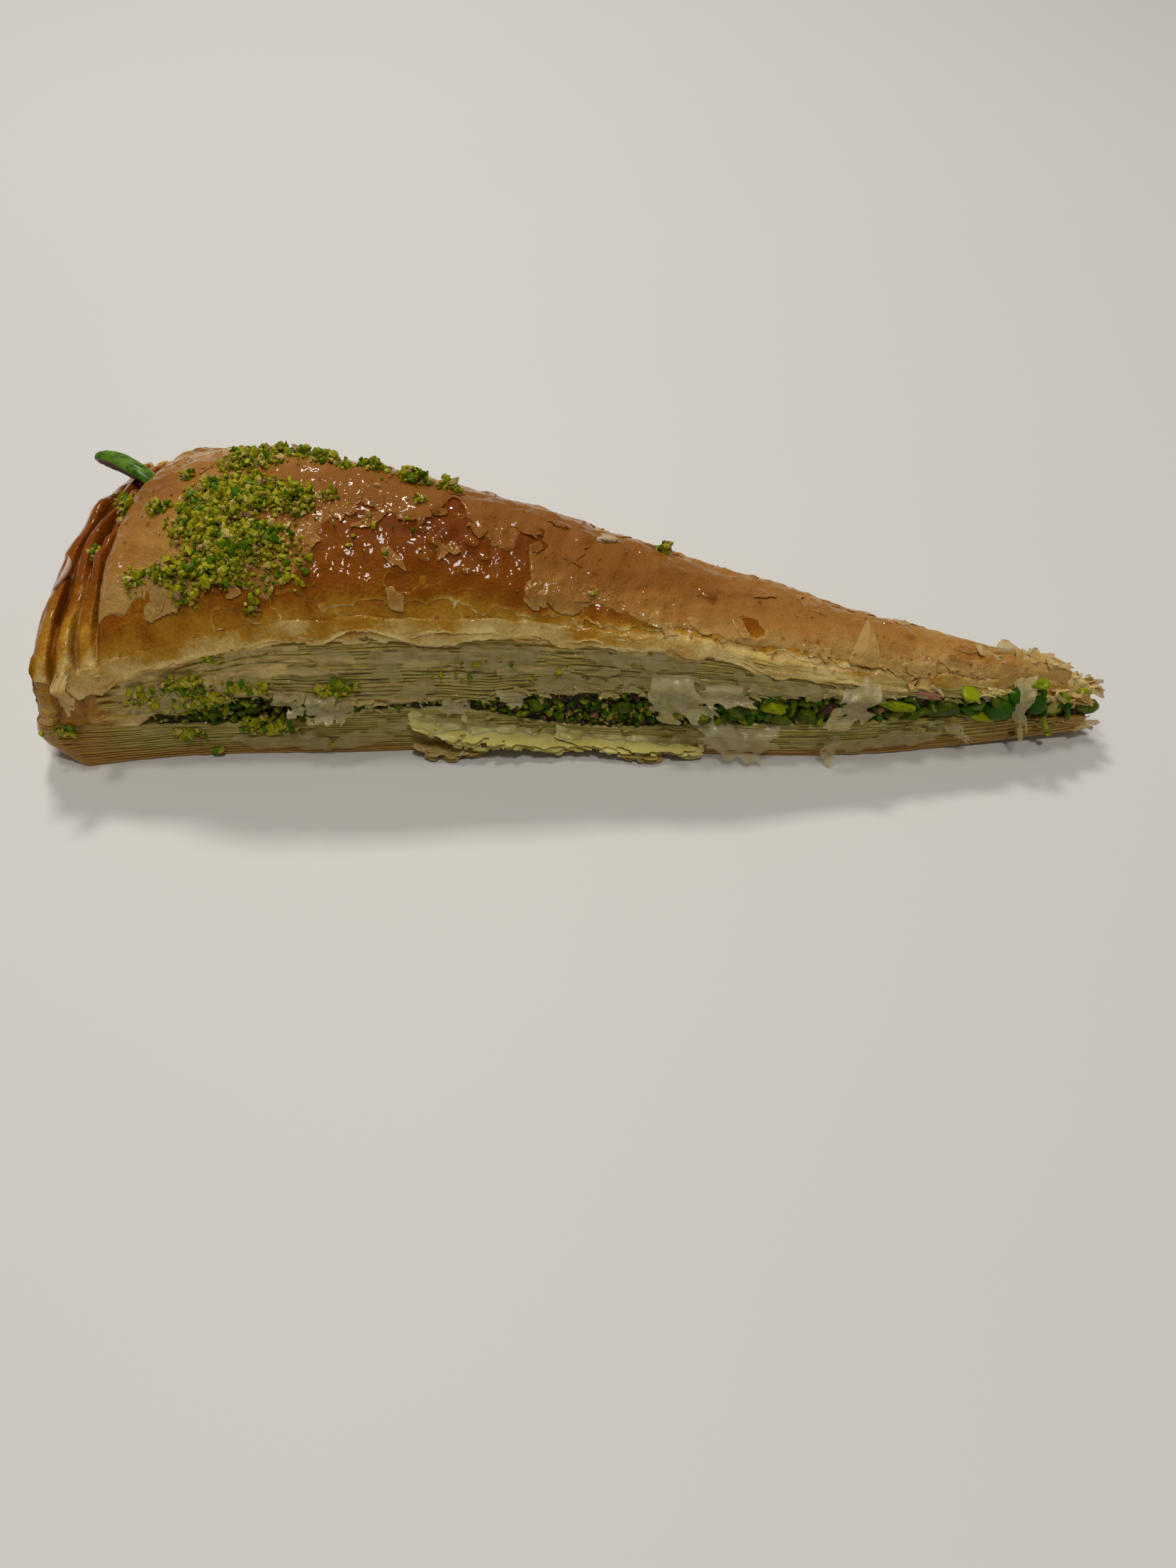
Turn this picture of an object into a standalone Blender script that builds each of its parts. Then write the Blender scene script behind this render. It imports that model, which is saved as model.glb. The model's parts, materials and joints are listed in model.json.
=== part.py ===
"""A long wedge of pistachio baklava, cut from a big round tray.

The pieces are the puffed upper pastry with its browned crust, the chopped pistachio filling, the flat
lower pastry and one slivered pistachio. +X runs down the middle of the wedge from the tray's rim to
the tip, -Y is the near cut face, +Z is up and the wedge rests on Z = 0.
"""

import math
import random

import bmesh
import bpy
import numpy as np
from mathutils import Euler, Matrix, Vector, noise

# Driving sizes, in metres
GAP = 0.0003  # clearance between two pieces that touch
RIM_X = -0.0925  # outer face of the pastry that stood against the tray's rim
TIP_X = 0.0850  # broken point of the wedge, at the middle of the tray
TRAY_RADIUS = 0.185  # radius that the rim end follows
DOME_POWER = 2.3  # how full the puffed crust is between its two cut edges
FOLD_COUNT = 3  # folded pastry edges that stand along the rim
FOLD_PITCH = 0.0031  # from one folded edge to the next
FOLD_GROOVE = 0.0046  # depth of the groove between two folded edges
FOLD_CREST = 0.0016  # how far the crests of the folds rise and fall
FOLD_DROP = 0.0012  # how far the folds stay below the crust
CREST_RUN = 120  # how quickly a crest changes along the rim
RIM_BLEND = 0.013  # length over which the rim's bulge fades into the straight sides
UPPER_LEAN = 0.0012  # how far each side of the upper pastry leans in at its top
LEDGE = 0.0006  # how far single sheets stand proud on a cut face
WRINKLE = 0.0007  # height of the crust's broad wrinkles
TIP_TEAR = 0.0018  # unevenness of the broken tip

# The filling
FILLING_START = -0.0765  # the filling stops short of the rim
FILLING_END = TIP_X - 0.0012
FILLING_SET_BACK = 0.0006  # the filling's core behind the cut faces
NUT_PROUD = 0.0012  # the most that a nut stands out of a cut face
NUT_HEADROOM = 0.0003  # between a nut and the pastry's own clearance
NUT_SIZES = ((0.0018, 0.0028), (0.0036, 0.0050))  # ground at the rim, coarser at the tip
NUT_SPACING = 0.92  # from one nut to the next, in sizes
COARSE_NUT = 0.0040  # a nut from this size up has four times the facets
NUT_ROOM = 0.0024  # nuts show only where the pastries leave this much between them
TIP_NUT = (0.0848, -0.0012, 0.0071)
TIP_NUT_SIZE = (0.0050, 0.0028, 0.0022)

# Slivered pistachio stuck in behind the folded rim
SLIVER_INNER = Vector((-0.0800, 0.0105, 0.0292))
SLIVER_OUTER = Vector((-0.0936, 0.0168, 0.0318))
SLIVER_WIDTH = 0.0044
SLIVER_THICKNESS = 0.0028
SLIVER_BOW = 0.0008

# Larger crumbs of ground pistachio: centre and spread of each patch, then how many
CRUMB_SIZES = (0.0013, 0.0024)
CRUMB_PATCHES = (
    ((-0.0610, -0.0010), (0.0072, 0.0070), 26),
    ((-0.0560, 0.0075), (0.0060, 0.0035), 9),
    ((-0.0560, -0.0120), (0.0040, 0.0035), 7),
    ((-0.0680, -0.0130), (0.0030, 0.0022), 5),
    ((-0.0760, -0.0115), (0.0018, 0.0018), 3),
    ((-0.0400, 0.0065), (0.0045, 0.0020), 5),
    ((-0.0310, 0.0050), (0.0030, 0.0020), 3),
    ((0.0075, 0.0053), (0.0010, 0.0006), 2),
)
FACE_CRUMBS = 12  # crumbs stuck to the near cut face by the rim
FACE_CRUMB_RUN = (-0.0790, -0.0550)
FACE_CRUMB_TOP = 0.0160
RIM_CRUMBS = ((-0.0212, 0.0128), (-0.0196, 0.0150), (-0.0178, 0.0122))  # across and up
CRUMB_MARGIN = 0.0032  # the crust's crumbs stay this far inside its edges

# Torn flakes that hang from the upper pastry: x, top and low end, widths there, drift along x, side
FLAKE_THICKNESS = 0.0007
FLAKE_CLEARANCE = 0.0018  # from the cut face, so that it hangs clear of the nuts
FLAKE_ROOT = 0.0026  # how deep a flake is rooted in the cut face
FLAKE_BEND = 0.22  # share of a flake's length over which it leaves the face
FLAKES = (
    (0.0112, 0.0195, 0.0112, 0.0045, 0.0080, 0.0035, -1),
    (0.0425, 0.0168, 0.0100, 0.0062, 0.0055, -0.0015, -1),
    (0.0700, 0.0140, 0.0045, 0.0034, 0.0010, 0.0028, -1),
    (-0.0335, 0.0190, 0.0105, 0.0060, 0.0040, -0.0020, 1),
    (0.0235, 0.0175, 0.0080, 0.0050, 0.0066, 0.0020, 1),
    (0.0560, 0.0142, 0.0080, 0.0040, 0.0030, 0.0015, 1),
)

# Torn bands of the lower pastry: ends along x, upper edge at both, lower edge at both, reach, side
BAND_THICKNESS = 0.0006  # how far a band stands proud at its upper edge
BAND_FLOOR = 0.0002  # the least height of a band's lower edge
BAND_ROOT = 0.0020  # how deep a band is rooted in the cut face
BANDS = (
    (-0.0330, -0.0035, 0.0098, 0.0042, 0.0034, 0.0006, 0.0030, -1),
    (-0.0030, 0.0172, 0.0050, 0.0044, 0.0004, 0.0004, 0.0036, -1),
    (0.0178, 0.0285, 0.0062, 0.0030, 0.0014, 0.0006, 0.0018, -1),
    (-0.0315, -0.0215, 0.0036, 0.0036, 0.0002, 0.0002, 0.0045, -1),
    (-0.0480, -0.0250, 0.0070, 0.0045, 0.0008, 0.0004, 0.0024, 1),
    (0.0100, 0.0320, 0.0060, 0.0034, 0.0008, 0.0006, 0.0020, 1),
)

# How finely each block is divided
SEED = 7
CRUST_CELLS = 36
ACROSS_CELLS = 8
UPPER_LEVELS = 4
LOWER_CELLS = 36
LOWER_LEVELS = 3
FILLING_CELLS = 32


def smooth_line(*points):
    """A function that follows a smooth curve through the (x, value) points."""
    xs, values = np.array(points).T
    slopes = np.gradient(values, xs)

    def at(x):
        x = min(max(x, xs[0]), xs[-1])
        i = min(int(np.searchsorted(xs, x, side="right")) - 1, len(xs) - 2)
        step = xs[i + 1] - xs[i]
        t = (x - xs[i]) / step
        start = (1 + 2 * t) * (1 - t) ** 2 * values[i] + t * (1 - t) ** 2 * step * slopes[i]
        end = t * t * (3 - 2 * t) * values[i + 1] + t * t * (t - 1) * step * slopes[i + 1]
        return float(start + end)

    return at


# Heights along the wedge
ridge_height = smooth_line(
    (-0.0925, 0.0290), (-0.0840, 0.0328), (-0.0740, 0.0370), (-0.0610, 0.0397), (-0.0460, 0.0406),
    (-0.0240, 0.0385), (-0.0070, 0.0340), (0.0160, 0.0277), (0.0400, 0.0219), (0.0660, 0.0172),
    (0.0780, 0.0144), (0.0850, 0.0110),
)
near_edge = smooth_line(
    (-0.0925, 0.0205), (-0.0800, 0.0212), (-0.0700, 0.0228), (-0.0600, 0.0262), (-0.0450, 0.0280),
    (-0.0300, 0.0280), (-0.0090, 0.0262), (0.0100, 0.0252), (0.0200, 0.0236), (0.0300, 0.0208),
    (0.0390, 0.0186), (0.0640, 0.0145), (0.0850, 0.0095),
)
far_edge = smooth_line(
    (-0.0925, 0.0240), (-0.0800, 0.0282), (-0.0700, 0.0302), (-0.0500, 0.0290), (-0.0300, 0.0265),
    (-0.0090, 0.0242), (0.0140, 0.0212), (0.0390, 0.0175), (0.0640, 0.0140), (0.0850, 0.0095),
)
roof_height = smooth_line(
    (-0.0925, 0.0098), (-0.0780, 0.0104), (-0.0660, 0.0132), (-0.0520, 0.0132), (-0.0440, 0.0114),
    (-0.0300, 0.0118), (-0.0210, 0.0122), (-0.0100, 0.0138), (0.0100, 0.0150), (0.0250, 0.0152),
    (0.0450, 0.0146), (0.0600, 0.0130), (0.0740, 0.0116), (0.0850, 0.0084),
)
shelf_height = smooth_line(
    (-0.0925, 0.0092), (-0.0780, 0.0080), (-0.0640, 0.0068), (-0.0520, 0.0072), (-0.0440, 0.0094),
    (-0.0300, 0.0102), (-0.0210, 0.0090), (-0.0120, 0.0066), (0.0000, 0.0056), (0.0150, 0.0070),
    (0.0400, 0.0080), (0.0580, 0.0080), (0.0740, 0.0062), (0.0850, 0.0056),
)
underside = smooth_line((0.0300, 0.0), (0.0450, 0.0), (0.0600, 0.0004), (0.0850, 0.0026))

# Plan of the two cut faces
near_cut = smooth_line(
    (-0.0925, -0.0285), (-0.0780, -0.0247), (-0.0415, -0.0194), (-0.0110, -0.0152), (0.0080, -0.0142),
    (0.0185, -0.0136), (0.0425, -0.0112), (0.0600, -0.0078), (0.0740, -0.0050), (0.0850, -0.0028),
)
far_cut = smooth_line(
    (-0.0925, 0.0292), (-0.0600, 0.0242), (-0.0100, 0.0156), (0.0400, 0.0088), (0.0850, 0.0026),
)

# How far the rim's wall leans out at each height
rim_bulge = smooth_line(
    (0.0, 0.0), (0.0060, -0.0050), (0.0110, -0.0036), (0.0200, -0.0022), (0.0290, 0.0004),
)


def material(name, colour, roughness):
    """A plain food surface."""
    made = bpy.data.materials.new(name)
    made.use_nodes = True
    shader = made.node_tree.nodes["Principled BSDF"]
    shader.inputs["Base Color"].default_value = (*colour, 1.0)
    shader.inputs["Roughness"].default_value = roughness
    shader.inputs["Metallic"].default_value = 0.0
    return made


def clear_scene():
    for obj in list(bpy.data.objects):
        bpy.data.objects.remove(obj)


def new_collection(name):
    made = bpy.data.collections.new(name)
    bpy.context.scene.collection.children.link(made)
    return made


def object_from(name, bm, collection):
    """A mesh object made from a bmesh, with its faces pointing out."""
    bmesh.ops.recalc_face_normals(bm, faces=bm.faces)
    if bm.calc_volume(signed=True) < 0:
        bmesh.ops.reverse_faces(bm, faces=bm.faces)
    mesh = bpy.data.meshes.new(name)
    bm.to_mesh(mesh)
    bm.free()
    obj = bpy.data.objects.new(name, mesh)
    collection.objects.link(obj)
    return obj


def block(name, cells, place, collection):
    """A box divided into cells (along, across, up), each point of its skin put where place says."""
    bm = bmesh.new()
    bmesh.ops.create_cube(bm, size=1.0)
    for axis, count in enumerate(cells):
        if count < 2:
            continue
        edges = [e for e in bm.edges if abs(e.verts[0].co[axis] - e.verts[1].co[axis]) > 0.5]
        bmesh.ops.subdivide_edges(bm, edges=edges, cuts=count - 1, use_grid_fill=True)
    for vert in bm.verts:
        vert.co = Vector(place(*(c + 0.5 for c in vert.co)))
    return object_from(name, bm, collection)


def lump(name, centre, size, turn, facets, collection, keep=None):
    """An uneven rounded piece; keep may move each point back to where the piece has room."""
    bm = bmesh.new()
    bmesh.ops.create_icosphere(bm, subdivisions=facets, radius=0.5)
    for vert in bm.verts:
        dent = 1 + 0.35 * noise.noise(vert.co * 3 + Vector(centre) * 900)
        vert.co = Vector(a * b * dent for a, b in zip(vert.co, size))
    bmesh.ops.transform(bm, matrix=Matrix.Translation(centre) @ turn.to_4x4(), verts=bm.verts)
    if keep:
        for vert in bm.verts:
            vert.co = keep(vert.co)
    return object_from(name, bm, collection)


def any_turn(rng):
    return Euler([rng.uniform(0, math.tau) for _ in range(3)]).to_matrix()


def apply_modifiers(obj):
    graph = bpy.context.evaluated_depsgraph_get()
    mesh = bpy.data.meshes.new_from_object(obj.evaluated_get(graph))
    obj.modifiers.clear()
    obj.data = mesh


def join(target, extras):
    """Fuses every object of the collection to the target, then removes them."""
    union = target.modifiers.new("fused", "BOOLEAN")
    union.operation = "UNION"
    union.solver = "MANIFOLD"
    union.operand_type = "COLLECTION"
    union.collection = extras
    apply_modifiers(target)
    for obj in list(extras.objects):
        bpy.data.objects.remove(obj)
    bpy.data.collections.remove(extras)


# Surfaces that several pieces share


def stations():
    """Where the upper pastry is divided along X: finely over the folded rim, then evenly."""
    folds = []
    for fold in range(FOLD_COUNT):
        start = RIM_X + fold * FOLD_PITCH
        folds += [start, start + 0.25 * FOLD_PITCH, start + 0.5 * FOLD_PITCH, start + 0.75 * FOLD_PITCH]
    shoulder = RIM_X + FOLD_COUNT * FOLD_PITCH
    crust = [shoulder + (TIP_X - shoulder) * i / CRUST_CELLS for i in range(CRUST_CELLS + 1)]
    return folds + crust


def cut(x, side):
    """Y of the near (-1) or the far (1) cut face."""
    return near_cut(x) if side < 0 else far_cut(x)


def across_share(x, y):
    """-1 at the near cut, 0 down the middle and 1 at the far cut."""
    near, far = near_cut(x), far_cut(x)
    return 2 * (y - near) / (far - near) - 1


def wrinkles(x, y):
    """Broad wrinkles and blisters of the baked crust."""
    wave = noise.noise(Vector((x * 70, y * 110, 0.3)))
    blister = noise.noise(Vector((x * 190, y * 190, 4.1)))
    return WRINKLE * (wave + 0.6 * blister)


def crust_height(x, y):
    """Top of the puffed crust, highest down the middle and lower at both cuts."""
    share = max(-1.0, min(1.0, across_share(x, y)))
    dome = 1 - abs(share) ** DOME_POWER
    low = near_edge(x) + (far_edge(x) - near_edge(x)) * (1 + share) / 2
    return low + (ridge_height(x) - low) * dome + wrinkles(x, y)


def fold_height(x, y):
    """Top of the folded edges along the rim: torn crests with grooves between them."""
    position = (x - RIM_X) / FOLD_PITCH
    fold = math.floor(position + 1e-6)
    share = position - fold
    groove = max(0.0, 1 - 4 * min(share, 1 - share))
    crest = noise.noise(Vector((y * CREST_RUN, fold * 3.7, 1.5)))
    deep = FOLD_GROOVE if fold > 0 or share > 0.5 else 0.35 * FOLD_GROOVE
    return crust_height(x, y) - FOLD_DROP + FOLD_CREST * crest - deep * groove


def rim_shift(x, y, z):
    """How far a point near the rim moves along X for the tray's curve and the bulging wall."""
    fade = max(0.0, 1 - (x - RIM_X) / RIM_BLEND)
    curve = y * y / (2 * TRAY_RADIUS) * max(0.0, x / RIM_X)
    return curve + rim_bulge(z) * fade * fade * (3 - 2 * fade)


def sheet_ledge(x, z, side):
    """Single sheets of pastry standing proud of a cut face, or pulled back."""
    return LEDGE * noise.noise(Vector((x * 60, side * 5.0, z * 900)))


# The pieces


def upper_pastry(collection):
    """Puffed upper sheets, from the filling's roof to the browned crust."""
    xs = stations()
    shoulder = xs[4 * FOLD_COUNT]

    def place(along, v, w):
        x = xs[round(along * (len(xs) - 1))]
        near, far = near_cut(x), far_cut(x)
        y = near + (far - near) * v
        top = fold_height(x, y) if x < shoulder else crust_height(x, y)
        bottom = roof_height(x) + GAP
        z = bottom + (top - bottom) * w
        if v in (0.0, 1.0):
            y += sheet_ledge(x, z, v) + (1 - 2 * v) * UPPER_LEAN * w
        if along == 1.0:
            x += TIP_TEAR * noise.noise(Vector((y * 400, 0.0, z * 400)))
        return x + rim_shift(x, y, z), y, z

    return block("upper_pastry", (len(xs) - 1, ACROSS_CELLS, UPPER_LEVELS), place, collection)


def lower_pastry(collection):
    """Dense lower sheets, soaked in syrup, on the browned base."""

    def place(along, v, w):
        x = RIM_X + (TIP_X - RIM_X) * along**1.25
        near, far = near_cut(x), far_cut(x)
        y = near + (far - near) * v
        bottom, top = max(0.0, underside(x)), shelf_height(x) - GAP
        z = bottom + (top - bottom) * w
        if v in (0.0, 1.0) and w > 0.0:
            y += sheet_ledge(x, z, v)
        if along == 1.0:
            x += TIP_TEAR * noise.noise(Vector((y * 400, 3.0, z * 400)))
        return x + rim_shift(x, y, z), y, z

    return block("lower_pastry", (LOWER_CELLS, 6, LOWER_LEVELS), place, collection)


def filling_core(collection):
    """Ground pistachio that runs right through the wedge between the two pastries."""

    def place(along, v, w):
        x = FILLING_START + (FILLING_END - FILLING_START) * along
        near, far = near_cut(x) + FILLING_SET_BACK, far_cut(x) - FILLING_SET_BACK
        y = near + (far - near) * v
        shelf, roof = shelf_height(x), roof_height(x)
        return x + rim_shift(x, y, shelf), y, shelf + (roof - shelf) * w

    return block("pistachio_filling", (FILLING_CELLS, 2, 2), place, collection)


def nut_room(side):
    """Keeps a nut's points between the two pastries and close to the cut face."""

    def keep(point):
        x, y, z = point
        edge = cut(x, side) + side * NUT_PROUD
        y = max(y, edge) if side < 0 else min(y, edge)
        z = min(max(z, shelf_height(x) + NUT_HEADROOM), roof_height(x) - NUT_HEADROOM)
        return Vector((x, y, z))

    return keep


def cut_nuts(side, rng, collection):
    """Pieces of pistachio along one cut face: ground by the rim and larger towards the tip."""
    x = FILLING_START + 0.004
    row = 0
    while x < FILLING_END - 0.003:
        share = (x - FILLING_START) / (FILLING_END - FILLING_START)
        low, high = (a + (b - a) * share for a, b in zip(*NUT_SIZES))
        size = rng.uniform(low, high)
        room = roof_height(x) - shelf_height(x)
        height = shelf_height(x) + room * (0.30 if row % 2 else 0.68)
        centre = (x, cut(x, side) - side * 0.20 * size, height)
        shape = (size * rng.uniform(1.0, 1.5), size, size * rng.uniform(0.8, 1.1))
        facets = 2 if size > COARSE_NUT else 1
        if room > NUT_ROOM:
            lump(f"nut_{side}_{row}", centre, shape, any_turn(rng), facets, collection, nut_room(side))
        x += size * NUT_SPACING
        row += 1


def nuts(rng, collection):
    cut_nuts(-1, rng, collection)
    cut_nuts(1, rng, collection)
    lump("nut_tip", TIP_NUT, TIP_NUT_SIZE, Matrix.Identity(3), 2, collection)


def crust_crumbs(rng, collection):
    """The largest crumbs of the ground pistachio strewn over the crust."""
    for patch, (centre, spread, count) in enumerate(CRUMB_PATCHES):
        for i in range(count):
            x, y = (rng.gauss(c, s) for c, s in zip(centre, spread))
            y = min(max(y, near_cut(x) + CRUMB_MARGIN), far_cut(x) - CRUMB_MARGIN)
            size = rng.uniform(*CRUMB_SIZES)
            place = (x, y, crust_height(x, y) + 0.15 * size)
            shape = (size * rng.uniform(0.9, 1.3), size, size)
            lump(f"crumb_{patch}_{i}", place, shape, any_turn(rng), 1, collection)


def face_crumbs(rng, collection):
    """Crumbs stuck to the near cut face and low on the rim."""
    for i in range(FACE_CRUMBS):
        x = rng.uniform(*FACE_CRUMB_RUN)
        size = rng.uniform(*CRUMB_SIZES)
        low = roof_height(x) + GAP + size
        place = (x, near_cut(x), rng.uniform(low, max(low, FACE_CRUMB_TOP)))
        lump(f"face_crumb_{i}", place, (size,) * 3, any_turn(rng), 1, collection)
    for i, (y, z) in enumerate(RIM_CRUMBS):
        place = (RIM_X + rim_shift(RIM_X, y, z), y, z)
        lump(f"rim_crumb_{i}", place, (CRUMB_SIZES[1],) * 3, any_turn(rng), 1, collection)


def flake(name, x, high, low, top_width, low_width, drift, side, collection):
    """A torn sheet that leaves the upper pastry's cut face and hangs down in front of it."""

    def place(across, thick, down):
        width = top_width + (low_width - top_width) * down
        px = x + drift * down + width * (across - 0.5)
        bend = min(1.0, down / FLAKE_BEND)
        out = FLAKE_CLEARANCE * bend - FLAKE_ROOT * (1 - bend)
        tear = 0.0012 * noise.noise(Vector((px * 700, 2.0, x * 90))) if down == 1.0 else 0.0
        y = cut(px, side) + side * (out + FLAKE_THICKNESS * thick)
        return px, y, high + (low - high) * down + tear

    return block(name, (3, 1, 5), place, collection)


def flakes(collection):
    for i, values in enumerate(FLAKES):
        flake(f"flake_{i}", *values, collection)


def band(name, start, end, high, high_end, low, low_end, reach, side, collection):
    """A torn band of the lower pastry that peels off its cut face and droops outwards."""

    def place(along, thick, up):
        x = start + (end - start) * along
        top = high + (high_end - high) * along
        bottom = low + (low_end - low) * along
        fray = 0.0008 * noise.noise(Vector((x * 500, 6.0, reach * 900)))
        out = reach * (1 - up) * math.sin(math.pi * (0.08 + 0.84 * along)) ** 0.5
        outer = cut(x, side) + side * (out + BAND_THICKNESS)
        inner = cut(x, side) - side * BAND_ROOT
        return x, inner + (outer - inner) * thick, max(BAND_FLOOR, bottom + fray) + (top - bottom) * up

    return block(name, (7, 1, 3), place, collection)


def bands(collection):
    for i, values in enumerate(BANDS):
        band(f"band_{i}", *values, collection)


def sliver(name, grow, collection):
    """A lengthwise slice of pistachio, slightly bowed; grow adds that much all round."""
    reach = SLIVER_OUTER - SLIVER_INNER
    half = (reach.length / 2 + grow, SLIVER_WIDTH / 2 + grow, SLIVER_THICKNESS / 2 + grow)
    bm = bmesh.new()
    bmesh.ops.create_uvsphere(bm, u_segments=10, v_segments=8, radius=1.0)
    bmesh.ops.rotate(bm, matrix=Matrix.Rotation(math.pi / 2, 3, "Y"), verts=bm.verts)
    for vert in bm.verts:
        bow = SLIVER_BOW * (1 - vert.co.x**2)
        vert.co = Vector(a * b for a, b in zip(vert.co, half)) + Vector((0, 0, bow))
    turn = reach.to_track_quat("X", "Z").to_matrix().to_4x4()
    middle = Matrix.Translation((SLIVER_INNER + SLIVER_OUTER) / 2)
    bmesh.ops.transform(bm, matrix=middle @ turn, verts=bm.verts)
    return object_from(name, bm, collection)


def cut_pocket(target, cutters):
    """The pocket that the slivered pistachio sits in."""
    cutter = sliver("sliver_pocket", GAP, cutters)
    cutter.hide_render = True
    cutter.display_type = "WIRE"
    pocket = target.modifiers.new("pocket", "BOOLEAN")
    pocket.operation = "DIFFERENCE"
    pocket.object = cutter


def main():
    clear_scene()
    rng = random.Random(SEED)
    baklava = new_collection("baklava_piece")
    cutters = new_collection("cutters")

    upper = upper_pastry(baklava)
    toppings = new_collection("toppings")
    crust_crumbs(rng, toppings)
    face_crumbs(rng, toppings)
    flakes(toppings)
    join(upper, toppings)
    cut_pocket(upper, cutters)

    lower = lower_pastry(baklava)
    torn = new_collection("torn_bands")
    bands(torn)
    join(lower, torn)

    filling = filling_core(baklava)
    pieces = new_collection("nuts")
    nuts(rng, pieces)
    join(filling, pieces)

    green_sliver = sliver("pistachio_sliver", 0.0, baklava)

    upper.data.materials.append(material("baked_pastry", (0.47, 0.22, 0.06), 0.35))
    lower.data.materials.append(material("soaked_pastry", (0.50, 0.40, 0.18), 0.40))
    filling.data.materials.append(material("chopped_pistachio", (0.16, 0.26, 0.03), 0.55))
    green_sliver.data.materials.append(material("slivered_pistachio", (0.05, 0.16, 0.02), 0.45))


main()
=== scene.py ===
"""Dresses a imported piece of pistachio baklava: filo sheets, chopped nuts, ground pistachio and syrup."""

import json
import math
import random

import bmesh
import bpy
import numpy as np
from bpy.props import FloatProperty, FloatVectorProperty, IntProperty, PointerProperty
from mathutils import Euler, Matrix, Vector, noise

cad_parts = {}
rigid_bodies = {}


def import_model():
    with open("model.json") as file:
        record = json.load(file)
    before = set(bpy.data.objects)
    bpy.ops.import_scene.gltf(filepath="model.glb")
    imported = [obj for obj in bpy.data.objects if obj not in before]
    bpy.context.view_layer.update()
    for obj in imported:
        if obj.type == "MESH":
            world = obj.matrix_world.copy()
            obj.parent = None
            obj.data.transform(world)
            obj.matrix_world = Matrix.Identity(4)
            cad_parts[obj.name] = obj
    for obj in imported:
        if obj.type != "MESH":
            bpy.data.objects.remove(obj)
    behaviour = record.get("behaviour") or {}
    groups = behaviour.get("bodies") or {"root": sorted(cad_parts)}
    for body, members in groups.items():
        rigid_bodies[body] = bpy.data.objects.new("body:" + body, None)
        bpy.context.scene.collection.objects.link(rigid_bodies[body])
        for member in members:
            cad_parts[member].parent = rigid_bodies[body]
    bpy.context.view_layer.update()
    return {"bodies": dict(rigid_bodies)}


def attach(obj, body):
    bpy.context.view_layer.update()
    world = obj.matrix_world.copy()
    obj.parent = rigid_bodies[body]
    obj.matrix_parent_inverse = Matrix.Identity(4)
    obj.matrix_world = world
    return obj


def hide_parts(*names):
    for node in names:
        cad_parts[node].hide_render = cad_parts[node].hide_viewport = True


bl_info = {
    "name": "Baklava Piece",
    "version": (1, 0, 0),
    "blender": (4, 5, 0),
    "location": "View3D > Sidebar > Baklava",
    "description": "Models a long wedge of pistachio baklava around its packed solids",
    "category": "Object",
}

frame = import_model()
BODY = next(iter(frame["bodies"]))

# The dome's exponent, how many folds the rim has, and how fast their crests wave along Y
DOME_POWER = 2.3
FOLD_COUNT = 3
CREST_RUN = 120

# Sizes that the solids share, in metres
RIM_X = -0.0925
TIP_X = 0.0850
TRAY_RADIUS = 0.185
FOLD_PITCH = 0.0031
FOLD_GROOVE = 0.0020
FOLD_CREST = 0.0016
FOLD_DROP = 0.0012
RIM_BLEND = 0.013
CORNER_ROUND = 0.0028
SHOULDER_ROUND = 0.0036
UPPER_LEAN = 0.0012
LEAN_RUN = 0.0045
WRINKLE = 0.0007
FILLING_START = -0.0765
FILLING_END = TIP_X - 0.0012
SHOULDER_X = RIM_X + FOLD_COUNT * FOLD_PITCH
SLIVER_INNER = Vector((-0.0800, 0.0105, 0.0292))
SLIVER_OUTER = Vector((-0.0936, 0.0168, 0.0318))

# Where the photograph was taken from, and how its frame maps to the sensor
CAMERA_PLACE = Vector((0.00542, -0.15360, 0.15624))
CAMERA_RIGHT = Vector((0.99603, 0.08566, 0.02422))
CAMERA_UP = Vector((-0.08117, 0.76223, 0.64220))
FRAME_HEIGHT = 2212
FOCAL_PIXELS = 1661
SENSOR_MM = 36.0

# How finely the pieces are divided: steps in metres, and cells along, across and up
TABLE_STEPS = 1200
FOLD_STEP = 0.0002
CRUST_STEP = 0.00048
CRUST_CELLS = (78, 30)
BASE_CELLS = (300, 20, 34)
BED_CELLS = (260, 4, 12)
SKIN_CELLS = (380, 84)
HEM_CELLS = (330, 8)
FACET_CELLS = (14, 22)
SCRAP_CELLS = (18, 14)
FLAKE_CELLS = (30, 34)
CURL_CELLS = (24, 6)
RIBBON_STEP = 0.00065
VEIL_STEP = 0.0005
BAND_STEP = 0.00035
BATCH_VERTS = 1500

# How many loose things there are
UPPER_SHEETS = 26
LOWER_SHEETS = 17
UPPER_VEILS = 38
LOWER_VEILS = 26
UPPER_WISPS = 110
LOWER_WISPS = 45
SKIN_SCRAPS = 64
RIDGE_SHREDS = 8
TIP_SHREDS = 80
SMALL_BEADS = 150
STRAND_LUMPS = 5

# Smaller measures of the looks, in metres; a drooping sheet stays above LOWEST
LOWER_PITCH = 0.00056
HEM_INSET = 0.0012
SHRED_THICKNESS = 0.00012
LOWEST = 0.0003
HEAP_CELL = 0.0007
HEAP_TOP = 0.0013
LARGEST_GRAIN = 0.0019

# Tints: a plain one, and the red of the palest crust
UNTINTED = (0.0, 0.0, 0.0)
PALEST = -0.10


def linear(hex_colour):
    """An sRGB hex colour as linear red, green, blue and alpha."""
    channels = [int(hex_colour[i : i + 2], 16) / 255 for i in (0, 2, 4)]
    return tuple(c / 12.92 if c <= 0.04045 else ((c + 0.055) / 1.055) ** 2.4 for c in channels) + (1.0,)


def clamp(value, low=0.0, high=1.0):
    return min(high, max(low, value))


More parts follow.
